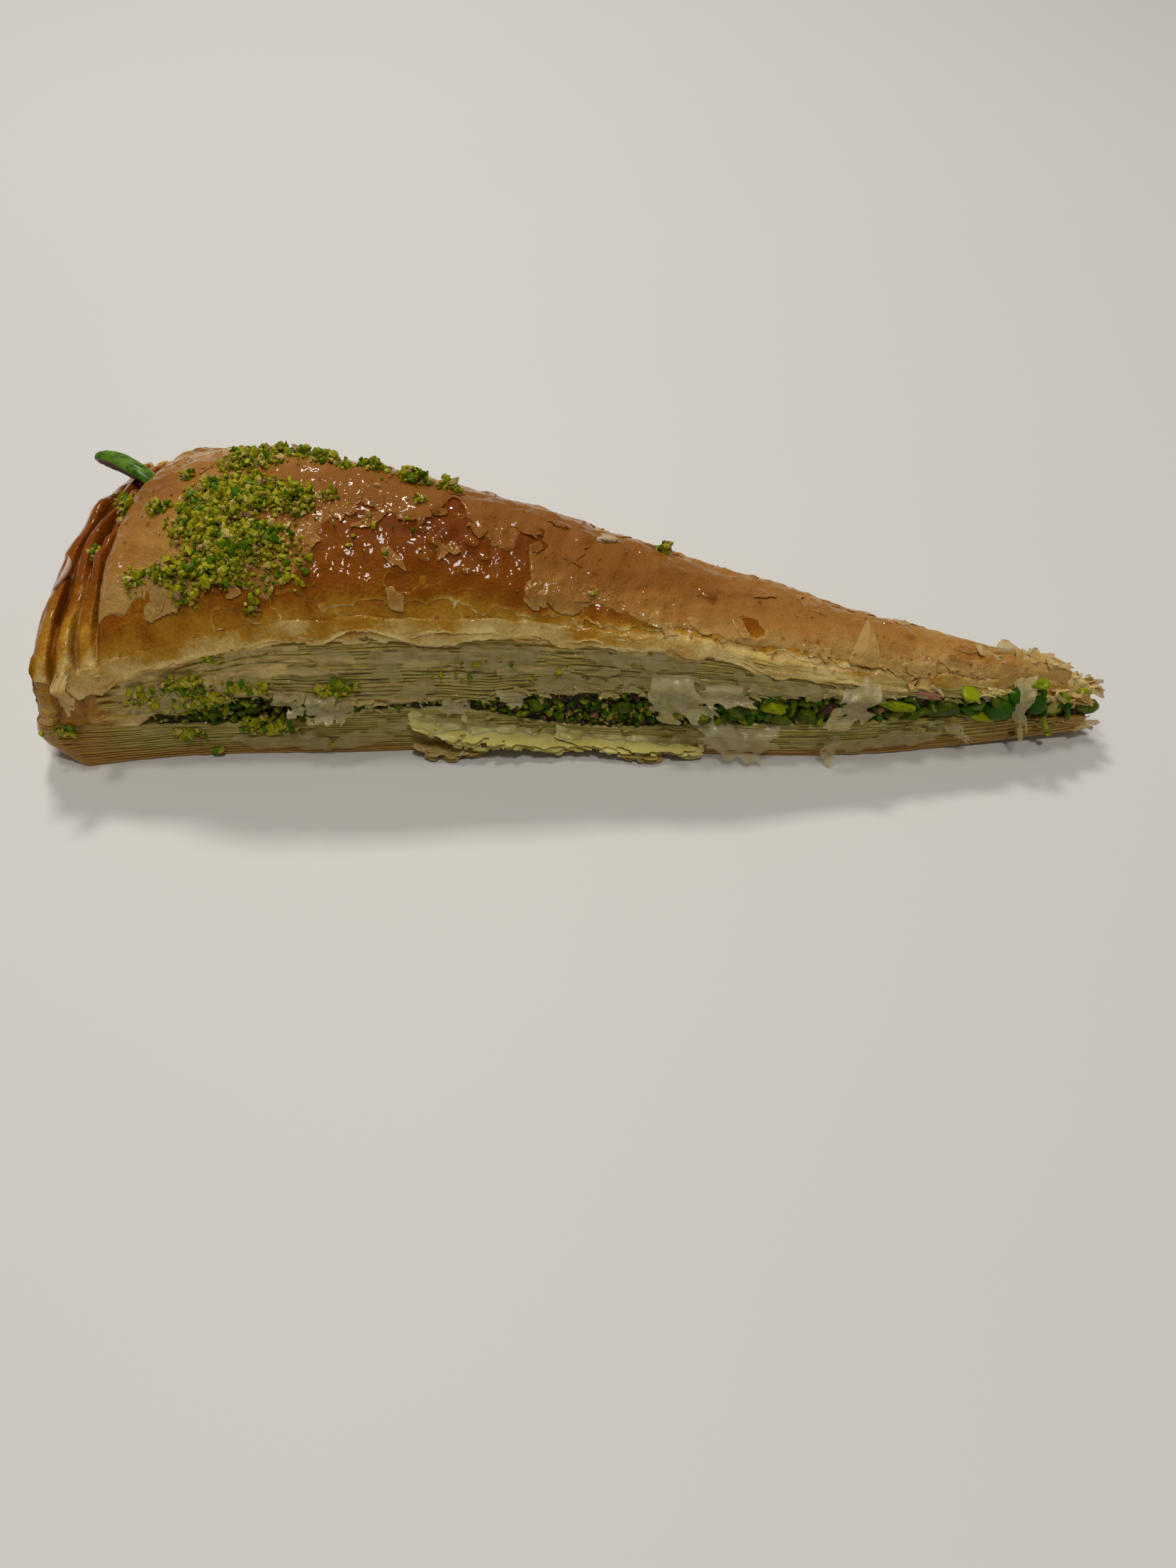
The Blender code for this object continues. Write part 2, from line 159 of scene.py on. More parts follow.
def noise_at(*place):
    """Smooth noise at a place; where a coordinate is a bare number it only picks another slice."""
    return noise.noise(Vector(place))


def ragged(*place, rough=0.55, finer=2.2, octaves=4):
    """Noise with finer and finer teeth, as along the edge of a torn sheet."""
    return noise.fractal(Vector(place), rough, finer, octaves)


def between(start, end, share):
    return start + (end - start) * share


def smooth_line(*points):
    """A function that follows a smooth curve through the (x, value) points."""
    xs, values = np.array(points).T
    slopes = np.gradient(values, xs)
    at = np.linspace(xs[0], xs[-1], TABLE_STEPS + 1)
    i = np.clip(np.searchsorted(xs, at, side="right") - 1, 0, len(xs) - 2)
    step = xs[i + 1] - xs[i]
    t = (at - xs[i]) / step
    start = (1 + 2 * t) * (1 - t) ** 2 * values[i] + t * (1 - t) ** 2 * step * slopes[i]
    end = t * t * (3 - 2 * t) * values[i + 1] + t * t * (t - 1) * step * slopes[i + 1]
    table = list(start + end) + [values[-1]]
    first, pitch = float(xs[0]), float(xs[-1] - xs[0]) / TABLE_STEPS

    def read(x):
        place = min(max((x - first) / pitch, 0.0), TABLE_STEPS)
        cell = int(place)
        return float(table[cell] + (table[cell + 1] - table[cell]) * (place - cell))

    return read


# Heights along the wedge, as in the solids
ridge_height = smooth_line(
    (-0.0925, 0.0290), (-0.0840, 0.0328), (-0.0740, 0.0370), (-0.0610, 0.0397), (-0.0460, 0.0406),
    (-0.0240, 0.0385), (-0.0070, 0.0340), (0.0160, 0.0277), (0.0400, 0.0219), (0.0660, 0.0172),
    (0.0780, 0.0144), (0.0850, 0.0110),
)
near_edge = smooth_line(
    (-0.0925, 0.0205), (-0.0800, 0.0212), (-0.0700, 0.0228), (-0.0600, 0.0262), (-0.0450, 0.0280),
    (-0.0300, 0.0280), (-0.0090, 0.0262), (0.0100, 0.0252), (0.0200, 0.0236), (0.0300, 0.0208),
    (0.0390, 0.0186), (0.0640, 0.0145), (0.0850, 0.0095),
)
far_edge = smooth_line(
    (-0.0925, 0.0240), (-0.0800, 0.0282), (-0.0700, 0.0302), (-0.0500, 0.0290), (-0.0300, 0.0265),
    (-0.0090, 0.0242), (0.0140, 0.0212), (0.0390, 0.0175), (0.0640, 0.0140), (0.0850, 0.0095),
)
roof_height = smooth_line(
    (-0.0925, 0.0098), (-0.0780, 0.0104), (-0.0660, 0.0132), (-0.0520, 0.0132), (-0.0440, 0.0114),
    (-0.0300, 0.0118), (-0.0210, 0.0122), (-0.0100, 0.0138), (0.0100, 0.0150), (0.0250, 0.0152),
    (0.0450, 0.0146), (0.0600, 0.0130), (0.0740, 0.0116), (0.0850, 0.0084),
)
shelf_height = smooth_line(
    (-0.0925, 0.0092), (-0.0780, 0.0080), (-0.0640, 0.0068), (-0.0520, 0.0072), (-0.0440, 0.0094),
    (-0.0300, 0.0102), (-0.0210, 0.0090), (-0.0120, 0.0066), (0.0000, 0.0056), (0.0150, 0.0070),
    (0.0400, 0.0080), (0.0580, 0.0080), (0.0740, 0.0062), (0.0850, 0.0056),
)
underside = smooth_line((0.0300, 0.0), (0.0450, 0.0), (0.0600, 0.0004), (0.0850, 0.0026))

# Plan of the two cut faces, and how far the rim's wall leans out at each height
near_cut = smooth_line(
    (-0.0925, -0.0285), (-0.0780, -0.0247), (-0.0415, -0.0194), (-0.0110, -0.0152), (0.0080, -0.0142),
    (0.0185, -0.0136), (0.0425, -0.0112), (0.0600, -0.0078), (0.0740, -0.0050), (0.0850, -0.0028),
)
far_cut = smooth_line(
    (-0.0925, 0.0292), (-0.0600, 0.0242), (-0.0100, 0.0156), (0.0400, 0.0088), (0.0850, 0.0026),
)
rim_bulge = smooth_line(
    (0.0, 0.0), (0.0060, -0.0050), (0.0110, -0.0036), (0.0200, -0.0022), (0.0290, 0.0004),
)

# How far the two outer skins of the crust still reach towards the near cut
outer_edge = smooth_line(
    (-0.0835, -0.0205), (-0.0720, -0.0166), (-0.0620, -0.0158), (-0.0530, -0.0150), (-0.0485, -0.0120),
    (-0.0462, -0.0064), (-0.0404, -0.0022), (-0.0380, -0.0036), (-0.0323, -0.0018), (-0.0290, -0.0018),
    (-0.0266, 0.0034), (-0.0246, -0.0004), (-0.0188, -0.0060), (-0.0163, -0.0046), (-0.0150, -0.0012),
    (-0.0140, -0.0040), (-0.0132, -0.0090), (-0.0118, -0.0108), (-0.0058, -0.0121), (-0.0044, -0.0106),
    (-0.0016, -0.0102), (0.0100, -0.0112), (0.0230, -0.0100), (0.0400, -0.0086), (0.0600, -0.0062),
    (0.0750, -0.0040), (0.0820, -0.0020),
)
middle_edge = smooth_line(
    (-0.0835, -0.0257), (-0.0720, -0.0234), (-0.0617, -0.0208), (-0.0520, -0.0192), (-0.0400, -0.0166),
    (-0.0300, -0.0150), (-0.0200, -0.0138), (-0.0100, -0.0130), (0.0000, -0.0124), (0.0200, -0.0112),
    (0.0400, -0.0098), (0.0600, -0.0068), (0.0820, -0.0026),
)

# Holes in the two skins: x, y, half length and half width
OUTER_HOLES = (
    (-0.0133, -0.0014, 0.0016, 0.0020), (0.0230, -0.0072, 0.0021, 0.0017), (-0.0600, -0.0072, 0.0058, 0.0005),
    (0.0395, 0.0040, 0.0030, 0.0012), (0.0070, 0.0060, 0.0040, 0.0010), (-0.0560, 0.0150, 0.0060, 0.0014),
)
MIDDLE_HOLES = (
    (-0.0502, -0.0172, 0.0044, 0.0011), (-0.0617, -0.0194, 0.0026, 0.0008), (-0.0255, 0.0004, 0.0017, 0.0026),
    (-0.0330, -0.0124, 0.0036, 0.0012), (-0.0080, -0.0114, 0.0030, 0.0010), (0.0120, -0.0080, 0.0016, 0.0012),
)
# Blisters that stand out: x, y, radius and height
BLISTERS = (
    (-0.0311, -0.0034, 0.0024, 0.0008), (-0.0272, -0.0047, 0.0019, 0.0007),
    (-0.0301, -0.0095, 0.0017, 0.0005), (-0.0289, -0.0072, 0.0013, 0.0005),
    (-0.0229, -0.0062, 0.0016, 0.0006), (-0.0209, -0.0078, 0.0014, 0.0005),
    (-0.0233, -0.0100, 0.0015, 0.0004), (0.0144, -0.0026, 0.0028, 0.0005),
    (0.0580, -0.0036, 0.0023, 0.0005), (0.0683, -0.0030, 0.0020, 0.0005),
    (-0.0060, 0.0020, 0.0026, 0.0006), (-0.0430, 0.0060, 0.0030, 0.0006),
)


class BaklavaSizes(bpy.types.PropertyGroup):
    """Sizes of the fine relief."""

    sheet_pitch: FloatProperty(
        name="Sheet pitch", description="From one filo sheet to the next at a cut",
        default=0.00058, min=0.0003, max=0.002, unit="LENGTH",
    )
    sheet_thickness: FloatProperty(
        name="Sheet thickness", description="Thickness of one loose filo sheet",
        default=0.00013, min=0.00005, max=0.001, unit="LENGTH",
    )
    blister: FloatProperty(
        name="Blister height", description="Height of the crust's small blisters",
        default=0.00052, min=0.0, max=0.002, unit="LENGTH",
    )
    grain_size: FloatProperty(
        name="Grain size", description="Middle size of a grain of ground pistachio",
        default=0.00064, min=0.0003, max=0.003, unit="LENGTH",
    )
    seed: IntProperty(name="Seed", description="Seed of every random draw", default=7, min=0)


def colour_property(name, description, hex_colour):
    return FloatVectorProperty(
        name=name, description=description, subtype="COLOR", size=4, default=linear(hex_colour),
    )


class BaklavaColours(bpy.types.PropertyGroup):
    """Colours of the finishes."""

    crust_dark: colour_property("Dark crust", "Deepest brown along the ridge", "743600")
    crust_brown: colour_property("Brown crust", "Orange brown of the upper flanks", "8a4a00")
    crust_gold: colour_property("Golden crust", "Gold of the lower flanks", "b48020")
    crust_cream: colour_property("Cream crust", "Pale gold next to the cuts", "e4c880")
    skin_dark: colour_property("Dark skin", "Dry outer skin where it browned most", "8c561e")
    skin_pale: colour_property("Pale skin", "Dry outer skin on the flanks", "b68e4e")
    cut_cream: colour_property("Cut cream", "Cream of the cut sheets below the crust", "dbbd67")
    cut_wet: colour_property("Wet cut", "Syrup-soaked sheets next to the nuts", "af9e51")
    soaked_pale: colour_property("Soaked pale", "Paler streaks of the soaked base", "b0a050")
    soaked_deep: colour_property("Soaked deep", "Deeper streaks of the soaked base", "9a883a")
    base_brown: colour_property("Base brown", "Browned, syrupy base", "a8782a")
    band_yellow: colour_property("Torn band", "Soaked yellow sheets that peel off", "dac874")
    nut_emerald: colour_property("Emerald nut", "Skinless outside of the greenest nuts", "1c4800")
    nut_green: colour_property("Green nut", "Moist green nut flesh", "5a6a00")
    nut_bright: colour_property("Bright nut", "Freshly cut nut flesh", "929a0c")
    nut_skin: colour_property("Nut skin", "Purple-brown skin of the nut", "53352c")
    nut_pink: colour_property("Pink skin", "Pale pink skin of the nut", "9c6a50")
    floor: colour_property("Floor", "Plain pale floor", "dad7d1")


# Meshes


def piece_from(name, bm, finish, replaced=(), crumbly=False):
    """A finished piece that rides with the part and takes the given finish as its material."""
    mesh = bpy.data.meshes.new(name)
    bm.to_mesh(mesh)
    bm.free()
    if not crumbly:
        mesh.shade_smooth()
    mesh.materials.append(finish)
    piece = bpy.data.objects.new(name, mesh)
    bpy.context.scene.collection.objects.link(piece)
    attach(piece, BODY)
    if replaced:
        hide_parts(*replaced)
    return piece


def block(cells, place):
    """A closed skin of cells (along, across, up); place gives each point its position and tint."""
    bm = bmesh.new()
    bmesh.ops.create_cube(bm, size=1.0)
    for axis, count in enumerate(cells):
        edges = [e for e in bm.edges if abs(e.verts[0].co[axis] - e.verts[1].co[axis]) > 0.5]
        bmesh.ops.subdivide_edges(bm, edges=edges, cuts=count - 1, use_grid_fill=True)
    tint = bm.verts.layers.float_color.new("tint")
    for vert in bm.verts:
        position, colour = place(*(c + 0.5 for c in vert.co))
        vert.co = position
        vert[tint] = (*colour, 1.0)
    bmesh.ops.recalc_face_normals(bm, faces=bm.faces)
    return bm


def main_part(grid, kept):
    """The vertices joined to the best kept one through kept vertices, so that no island is left."""
    first = max(grid, key=lambda vert: kept[vert])
    reached, edge = {first}, [first]
    while edge:
        vert = edge.pop()
        for other in (link.other_vert(vert) for link in vert.link_edges):
            if kept[other] > 0 and other not in reached:
                reached.add(other)
                edge.append(other)
    return reached


def add_sheet(pile, cells, place, inside, thickness, joined=False):
    """Adds a thin sheet over the unit square, torn off where inside is negative."""
    bm, tint = pile.ready()
    grid = bmesh.ops.create_grid(bm, x_segments=cells[0], y_segments=cells[1], size=0.5)["verts"]
    shares = {vert: (vert.co.x + 0.5, vert.co.y + 0.5) for vert in grid}
    kept = {vert: inside(*shares[vert]) for vert in grid}
    if joined:
        whole = main_part(grid, kept)
        kept = {vert: room if vert in whole else min(room, -0.05) for vert, room in kept.items()}
    faces = {face for vert in grid for face in vert.link_faces}
    lost = [face for face in faces if all(kept[vert] <= 0 for vert in face.verts)]
    for vert in grid:
        if kept[vert] >= 0:
            continue
        partners = [other for face in vert.link_faces for other in face.verts if kept[other] > 0]
        if partners:
            best = max(partners, key=lambda other: kept[other])
            t = kept[vert] / (kept[vert] - kept[best])
            shares[vert] = tuple(a + (b - a) * t for a, b in zip(shares[vert], shares[best]))
    for vert in grid:
        position, colour = place(*shares[vert])
        vert.co = position
        vert[tint] = (*colour, 1.0)
    bmesh.ops.delete(bm, geom=lost, context="FACES")
    left = [face for face in faces if face.is_valid]
    bmesh.ops.solidify(bm, geom=left, thickness=thickness)


def new_sheets():
    bm = bmesh.new()
    return bm, bm.verts.layers.float_color.new("tint")


class Pile:
    """Many small bits for one piece, set aside in batches because operators slow down on big meshes."""

    def __init__(self):
        self.batches = []
        self.start()

    def start(self):
        self.bm, self.tint = new_sheets()

    def ready(self):
        """The mesh to add the next bit to."""
        if len(self.bm.verts) > BATCH_VERTS:
            batch = bpy.data.meshes.new("batch")
            self.bm.to_mesh(batch)
            self.bm.free()
            self.batches.append(batch)
            self.start()
        return self.bm, self.tint

    def whole(self):
        """All the bits in one mesh."""
        for batch in self.batches:
            self.bm.from_mesh(batch)
            bpy.data.meshes.remove(batch)
        return self.bm


def tilted(rng, *limits):
    """A turn drawn between a low and a high angle about each axis."""
    return Euler([rng.uniform(*pair) for pair in limits]).to_matrix()


def any_turn(rng):
    return tilted(rng, *[(0, math.tau)] * 3)


def lump(pile, centre, size, turn, rng, facets=1, rough=0.3, chops=0, keep=None):
    """Adds a dented lump; the tint's red marks its chopped faces and the green is its own shade."""
    bm, tint = pile.ready()
    offset = Vector([rng.uniform(0, 50) for _ in range(3)])
    knives = [(any_turn(rng) @ Vector((0, 0, 1)), rng.uniform(0.16, 0.34)) for _ in range(chops)]
    shade = rng.random()
    for vert in bmesh.ops.create_icosphere(bm, subdivisions=facets, radius=0.5)["verts"]:
        point = vert.co * (1 + rough * noise.noise(vert.co * 3.2 + offset))
        chopped = 0.0
        for normal, depth in knives:
            over = point.dot(normal) - depth
            if over > 0:
                point -= normal * over
                chopped = 1.0
        point = turn @ Vector(a * b for a, b in zip(point, size)) + Vector(centre)
        vert.co = keep(point) if keep else point
        vert[tint] = (chopped, shade, 0.0, 1.0)


def shred(pile, centre, size, turn, colour, rng):
    """Adds a small bent scrap of one sheet, ragged all round."""
    bm, tint = pile.ready()
    offset = Vector([rng.uniform(0, 50) for _ in range(3)])
    grid = bmesh.ops.create_grid(bm, x_segments=5, y_segments=3, size=0.5)["verts"]
    faces = list({face for vert in grid for face in vert.link_faces})
    for vert in grid:
        x, y = vert.co.x, vert.co.y
        spot = Vector((x * 5, y * 5, 0.0)) + offset
        fray = Vector((noise_at(*spot), noise_at(*spot.yzx), noise_at(*spot.zxy)))
        taper = 1 - 0.7 * (x + 0.5)
        point = Vector(((x + 0.22 * fray.x) * size[0], (y * taper + 0.2 * fray.y) * size[1], 0.0))
        point.z = size[2] * (4 * x * x + fray.z)
        vert.co = turn @ point + Vector(centre)
        vert[tint] = (*colour, 1.0)
    bmesh.ops.solidify(bm, geom=faces, thickness=SHRED_THICKNESS)


# Surfaces that the solids share


def across_share(x, y):
    """-1 at the near cut, 0 down the middle and 1 at the far cut."""
    near, far = near_cut(x), far_cut(x)
    return 2 * (y - near) / (far - near) - 1


def cut(x, side):
    return near_cut(x) if side < 0 else far_cut(x)


def across(x, share):
    """Y at a share of the way from the near cut to the far cut."""
    return between(near_cut(x), far_cut(x), share)


def lean_in(x, y):
    """How far the crust's edges lie inside the cuts' foot, fading towards the middle."""
    near = max(0.0, 1 - (y - near_cut(x)) / LEAN_RUN)
    far = max(0.0, 1 - (far_cut(x) - y) / LEAN_RUN)
    return UPPER_LEAN * (min(1.0, near) - min(1.0, far))


def crust_height(x, y):
    """Top of the puffed crust, highest down the middle and lower at both cuts."""
    share = clamp(across_share(x, y), -1.0)
    dome = 1 - abs(share) ** DOME_POWER
    low = near_edge(x) + (far_edge(x) - near_edge(x)) * (1 + share) / 2
    wave = noise_at(x * 70, y * 110, 0.3)
    swell = noise_at(x * 190, y * 190, 4.1)
    return low + (ridge_height(x) - low) * dome + WRINKLE * (wave + 0.6 * swell)


def rim_shift(x, y, z):
    """How far a point near the rim moves along X for the tray's curve and the bulging wall."""
    fade = max(0.0, 1 - (x - RIM_X) / RIM_BLEND)
    curve = y * y / (2 * TRAY_RADIUS) * max(0.0, x / RIM_X)
    return curve + rim_bulge(z) * fade * fade * (3 - 2 * fade)


def bent(x, y, z):
    """A point moved along X as the rim is."""
    return Vector((x + rim_shift(x, y, z), y, z))


def fold_depth(x, y):
    """How far the folded sheets along the rim lie below the crust; the grooves wander and fade."""
    position = (x - RIM_X) / FOLD_PITCH + 0.34 * noise_at(y * 90, 4.0, 6.0)
    fold = math.floor(position + 1e-6)
    share = position - fold
    fade = 0.62 + 1.1 * noise_at(y * 95, round(position) * 5.1, 3.0)
    groove = max(0.0, 1 - 3.4 * min(share, 1 - share)) * clamp(fade, 0.15)
    crest = noise_at(y * CREST_RUN, fold * 3.7, 1.5)
    deep = FOLD_GROOVE if fold > 0 or share > 0.5 else 0.35 * FOLD_GROOVE
    rounding = 0.0009 * (2 * share - 1) ** 2
    return FOLD_DROP - FOLD_CREST * crest + rounding + deep * groove, groove


def shoulder_roll(x):
    """How far the dome rolls down to the folds."""
    t = clamp(1 - (x - SHOULDER_X) / SHOULDER_ROUND)
    return 0.75 * SHOULDER_ROUND * (1 - math.sqrt(1 - t * t))


def end_gold(x):
    """How golden the cuts are by their place along the wedge: at the rim and towards the tip."""
    rim = max(0.0, (RIM_X + 0.0135 - x) / 0.0090)
    return min(1.0, rim) + 0.75 * clamp((x - 0.050) / 0.028)


def corner_inset(x):
    """How far the cut faces turn in where they meet the rim, round its upright corners."""
    t = max(0.0, 1 - (x - RIM_X) / CORNER_ROUND)
    return 0.8 * CORNER_ROUND * (1 - math.sqrt(max(0.0, 1 - t * t)))


# Fine relief that only the looks have


def blisters(x, y, height):
    """Small blisters, thickest on the ridge, a few large ones, and soft puckers along the wedge."""
    place = Vector((x, y, 0.0))
    crowd = 0.5 + 0.5 * noise.noise(place * 45 + Vector((3.0, 1.0, 0.0)))
    bubble = max(0.0, noise.noise(place * 520)) ** 1.3
    pucker = abs(noise_at(x * 140, y * 300, 9.0))
    crease = abs(noise_at(x * 380, y * 300, 5.0))
    drape = abs(noise_at(x * 300, y * 75, 7.0)) * min(1.0, abs(across_share(x, y)) + 0.2)
    raised = height * (2.0 * crowd * bubble - 0.9 * pucker - 0.7 * crease - 1.3 * drape)
    for cx, cy, radius, swell in BLISTERS:
        away = ((x - cx) ** 2 + (y - cy) ** 2) / radius**2
        if away < 1:
            raised += swell * (1 - away) ** 1.5
    return raised


def top_height(x, y, blister):
    base = crust_height(x, y) + blisters(x, y, blister)
    if x < SHOULDER_X:
        return base - fold_depth(x, y)[0]
    return base - shoulder_roll(x)


def edge_height(x, side):
    return near_edge(x) if side < 0 else far_edge(x)


def sheet_relief(x, z, side, pitch):
    """Cut edges of single sheets: each stands out by its own amount, with a groove between two."""
    level = z / pitch + 0.9 * noise_at(x * 40, side * 7.0, z * 120)
    sheet = math.floor(level)
    share = level - sheet
    ledge = noise_at(x * 85, sheet * 5.3, side * 3.0)
    groove = 1 - min(1.0, min(share, 1 - share) / 0.24)
    return 0.0003 * ledge - 0.0003 - 0.0002 * groove, groove


def browning(x, y):
    """How deeply the crust is browned: most along the ridge, least at the cuts and the tip."""
    share = across_share(x, y)
    ridge = math.exp(-(((share + 0.02) / 0.55) ** 2))
    middle = math.exp(-(((x + 0.020) / 0.034) ** 2))
    tip = max(0.0, (x - 0.005) / 0.080) + 1.8 * max(0.0, (x - 0.066) / 0.019)
    patch = ragged(x * 50, y * 80, 2.0, rough=0.9, finer=2.0, octaves=3)
    mottled = clamp((-0.045 - x) / 0.020)
    brown = 0.30 + 0.30 * ridge + 0.34 * ridge * middle - 0.26 * tip
    brown += (0.09 + 0.14 * mottled) * patch + 0.06 * mottled
    edge = max(0.0, abs(share) - 0.62) / 0.38
    pale = 0.28 + 0.20 * clamp((x + 0.010) / 0.040)
    return clamp(brown - pale * edge * edge, PALEST)


# Materials

# A colour Mix node takes its share at socket 0 and its two colours at 6 and 7
COLOUR_MIX = {"data_type": "RGBA", "out": 2}
# A Math node that multiplies sockets 0 and 1 and adds 2
ADD_SHARE = {"operation": "MULTIPLY_ADD"}


class Finish:
    """A material in the making, with object coordinates and the three channels of the tint."""

    def __init__(self, name):
        self.made = bpy.data.materials.new(name)
        self.made.use_nodes = True
        self.made.node_tree.nodes.clear()
        self.where = self.node("TexCoord", out="Object")
        tint = self.node("VertexColor", layer_name="tint")
        self.red, self.green, self.blue = self.node("SeparateColor", {"Color": tint}).node.outputs[:3]

    def node(self, kind, inputs=None, stops=None, out=0, **settings):
        """Adds a node with its settings, its values or links by socket and a ramp's stops."""
        added = self.made.node_tree.nodes.new("ShaderNode" + kind)
        for name, value in settings.items():
            setattr(added, name, value)
        for socket, value in (inputs or {}).items():
            if isinstance(value, bpy.types.NodeSocket):
                self.made.node_tree.links.new(value, added.inputs[socket])
            else:
                added.inputs[socket].default_value = value
        if stops:
            elements = added.color_ramp.elements
            while len(elements) < len(stops):
                elements.new(0.5)
            for element, (position, colour) in zip(elements, stops):
                element.position = position
                element.color = colour
        return added.outputs[out] if added.outputs else None

    def finished(self, surface):
        """The material with this surface."""
        self.node("OutputMaterial", {"Surface": surface})
        return self.made


def filo(name, browns, groove_shade_colour, gloss):
    """Buttered filo, baked and brushed with syrup: matt brown bread under a thin clear film.

    The film gives small sharp glints and no haze, so its IOR is matched well below that of syrup.
    The tint's red browns a sheet and its blue paints shade into grooves and folds as a darker amber.
    """
    made = Finish(name)
    # butter browns a sheet in soft patches of about 4 mm, with freckles of about half a millimetre
    patch = made.node("TexNoise", {"Vector": made.where, "Scale": 240.0, "Detail": 3.0})
    freckle = made.node("TexNoise", {"Vector": made.where, "Scale": 1700.0, "Detail": 2.0})
    patched = made.node("Math", {0: patch, 1: 0.34, 2: made.red}, **ADD_SHARE)
    spotted = made.node("Math", {0: freckle, 1: 0.20, 2: patched}, **ADD_SHARE)
    stops = list(zip((0.26, 0.46, 0.66, 1.0), browns))
    baked = made.node("ValToRGB", {"Fac": spotted}, stops)
    # painted shade: grooves and folds marked by the tint's blue turn to a darker amber
    hollow = made.node("Mix", {0: made.blue, 6: baked, 7: groove_shade_colour}, **COLOUR_MIX)
    # flour and butter leave pebbles of about half a millimetre, between creases 1.6 mm apart
    pebble = made.node("TexNoise", {"Vector": made.where, "Scale": 2100.0, "Detail": 3.0})
    crease = made.node("TexNoise", {"Vector": made.where, "Scale": 620.0, "Detail": 1.0})
    relief = made.node("Math", {0: crease, 1: 1.1, 2: pebble}, **ADD_SHARE)
    bump = made.node("Bump", {"Height": relief, "Strength": 0.7, "Distance": 0.00030})
    film = made.node("Bump", {"Height": crease, "Strength": 0.6, "Distance": 0.00040})
    # syrup lies wetter in some patches than in others
    satin = made.node(
        "MapRange", {"Value": patch, "From Min": 0.35, "From Max": 0.65, "To Min": 0.30, "To Max": 0.52},
    )
    surface = made.node("BsdfPrincipled", {
        "Base Color": hollow, "Normal": bump, "Roughness": satin, "Specular IOR Level": 0.05,
        "Subsurface Weight": 0.12, "Subsurface Radius": (1.0, 0.5, 0.15), "Subsurface Scale": 0.0009,
        "Coat Weight": gloss, "Coat Roughness": 0.035, "Coat IOR": 1.25, "Coat Normal": film,
    })
    return made.finished(surface)


def cut_filo(name, dry, wet, deep, baked):
    """Stacked filo cut by a knife and soaked: pale and waxy, with light under its surface.

    The tint's green soaks it, its red browns it and its blue paints shade into the grooves between sheets.
    """
    made = Finish(name)
    # streaks of 3 mm along the sheets and 1 mm across them, in clouds of about 8 mm
    stretch = made.node("Mapping", {"Vector": made.where, "Scale": (1.0, 1.0, 3.0)})
    streak = made.node("TexNoise", {"Vector": stretch, "Scale": 330.0, "Detail": 4.0})
    cloud = made.node("TexNoise", {"Vector": made.where, "Scale": 130.0, "Detail": 2.0})
    clouded = made.node("Math", {0: cloud, 1: 0.9, 2: streak}, **ADD_SHARE)
    soaked = made.node("ValToRGB", {"Fac": clouded}, [(0.72, deep), (1.0, wet)])
    mixed = made.node("Mix", {0: made.green, 6: dry, 7: soaked}, **COLOUR_MIX)
    browned = made.node("Mix", {0: made.red, 6: mixed, 7: baked}, **COLOUR_MIX)
    # painted shade: grooves between sheets, where the tint's blue is set, darken towards olive brown
    darker = made.node("Mix", {0: made.blue, 6: browned, 7: linear("5c5228")}, **COLOUR_MIX)
    # crumbs of about a millimetre along the sheets
    grain = made.node("TexNoise", {"Vector": stretch, "Scale": 1100.0, "Detail": 3.0})
    bump = made.node("Bump", {"Height": grain, "Strength": 0.6, "Distance": 0.00026})
    surface = made.node("BsdfPrincipled", {
        "Base Color": darker, "Normal": bump, "Roughness": 0.40, "Specular IOR Level": 0.2,
        "Subsurface Weight": 0.5, "Subsurface Radius": (1.0, 0.8, 0.4), "Subsurface Scale": 0.0012,
        "Coat Weight": 0.9, "Coat Roughness": 0.06, "Coat IOR": 1.30, "Coat Normal": bump,
    })
    return made.finished(surface)


def thin_filo(name, pale, cloudy, clear):
    """One wet sheet of filo: glassy, cloudy where two plies lie together, with small glints."""
    made = Finish(name)
    # clouds of about 2 mm and crinkles of about 1 mm
    cloud = made.node("TexNoise", {"Vector": made.where, "Scale": 520.0, "Detail": 3.0})
    ply = made.node("ValToRGB", {"Fac": cloud}, [(0.38, pale), (0.66, cloudy)])
    crinkle = made.node("TexNoise", {"Vector": made.where, "Scale": 900.0, "Detail": 2.0})
    bump = made.node("Bump", {"Height": crinkle, "Strength": 0.5, "Distance": 0.0004})
    surface = made.node("BsdfPrincipled", {
        "Base Color": ply, "Normal": bump, "Roughness": 0.30, "Alpha": 1 - clear,
        "Specular IOR Level": 0.15, "Coat Weight": 0.7, "Coat Roughness": 0.06, "Coat IOR": 1.30,
        "Coat Normal": bump,
    })
    return made.finished(surface)


def nut_flesh(name, outside, chopped, coat=0.35):
    """Raw pistachio, chopped or ground: satin and oily, darker outside than on its chopped faces.

    The tint's red marks chopped faces, and its green gives each piece its own shade.
    """
    made = Finish(name)
    # veins and crumbs of about a millimetre
    marble = made.node("TexNoise", {"Vector": made.where, "Scale": 900.0, "Detail": 4.0})
    shaded = made.node("Math", {0: made.green, 1: 0.5, 2: marble}, **ADD_SHARE)
    lighter = made.node("ValToRGB", {"Fac": shaded}, [(0.45, outside), (1.0, chopped)])
    faced = made.node("Mix", {0: made.red, 6: lighter, 7: chopped}, **COLOUR_MIX)
    bump = made.node("Bump", {"Height": marble, "Strength": 0.5, "Distance": 0.00022})
    surface = made.node("BsdfPrincipled", {
        "Base Color": faced, "Normal": bump, "Roughness": 0.42, "Specular IOR Level": 0.08,
        "Coat Weight": coat, "Coat Roughness": 0.10, "Coat IOR": 1.25, "Coat Normal": bump,
    })
    return made.finished(surface)


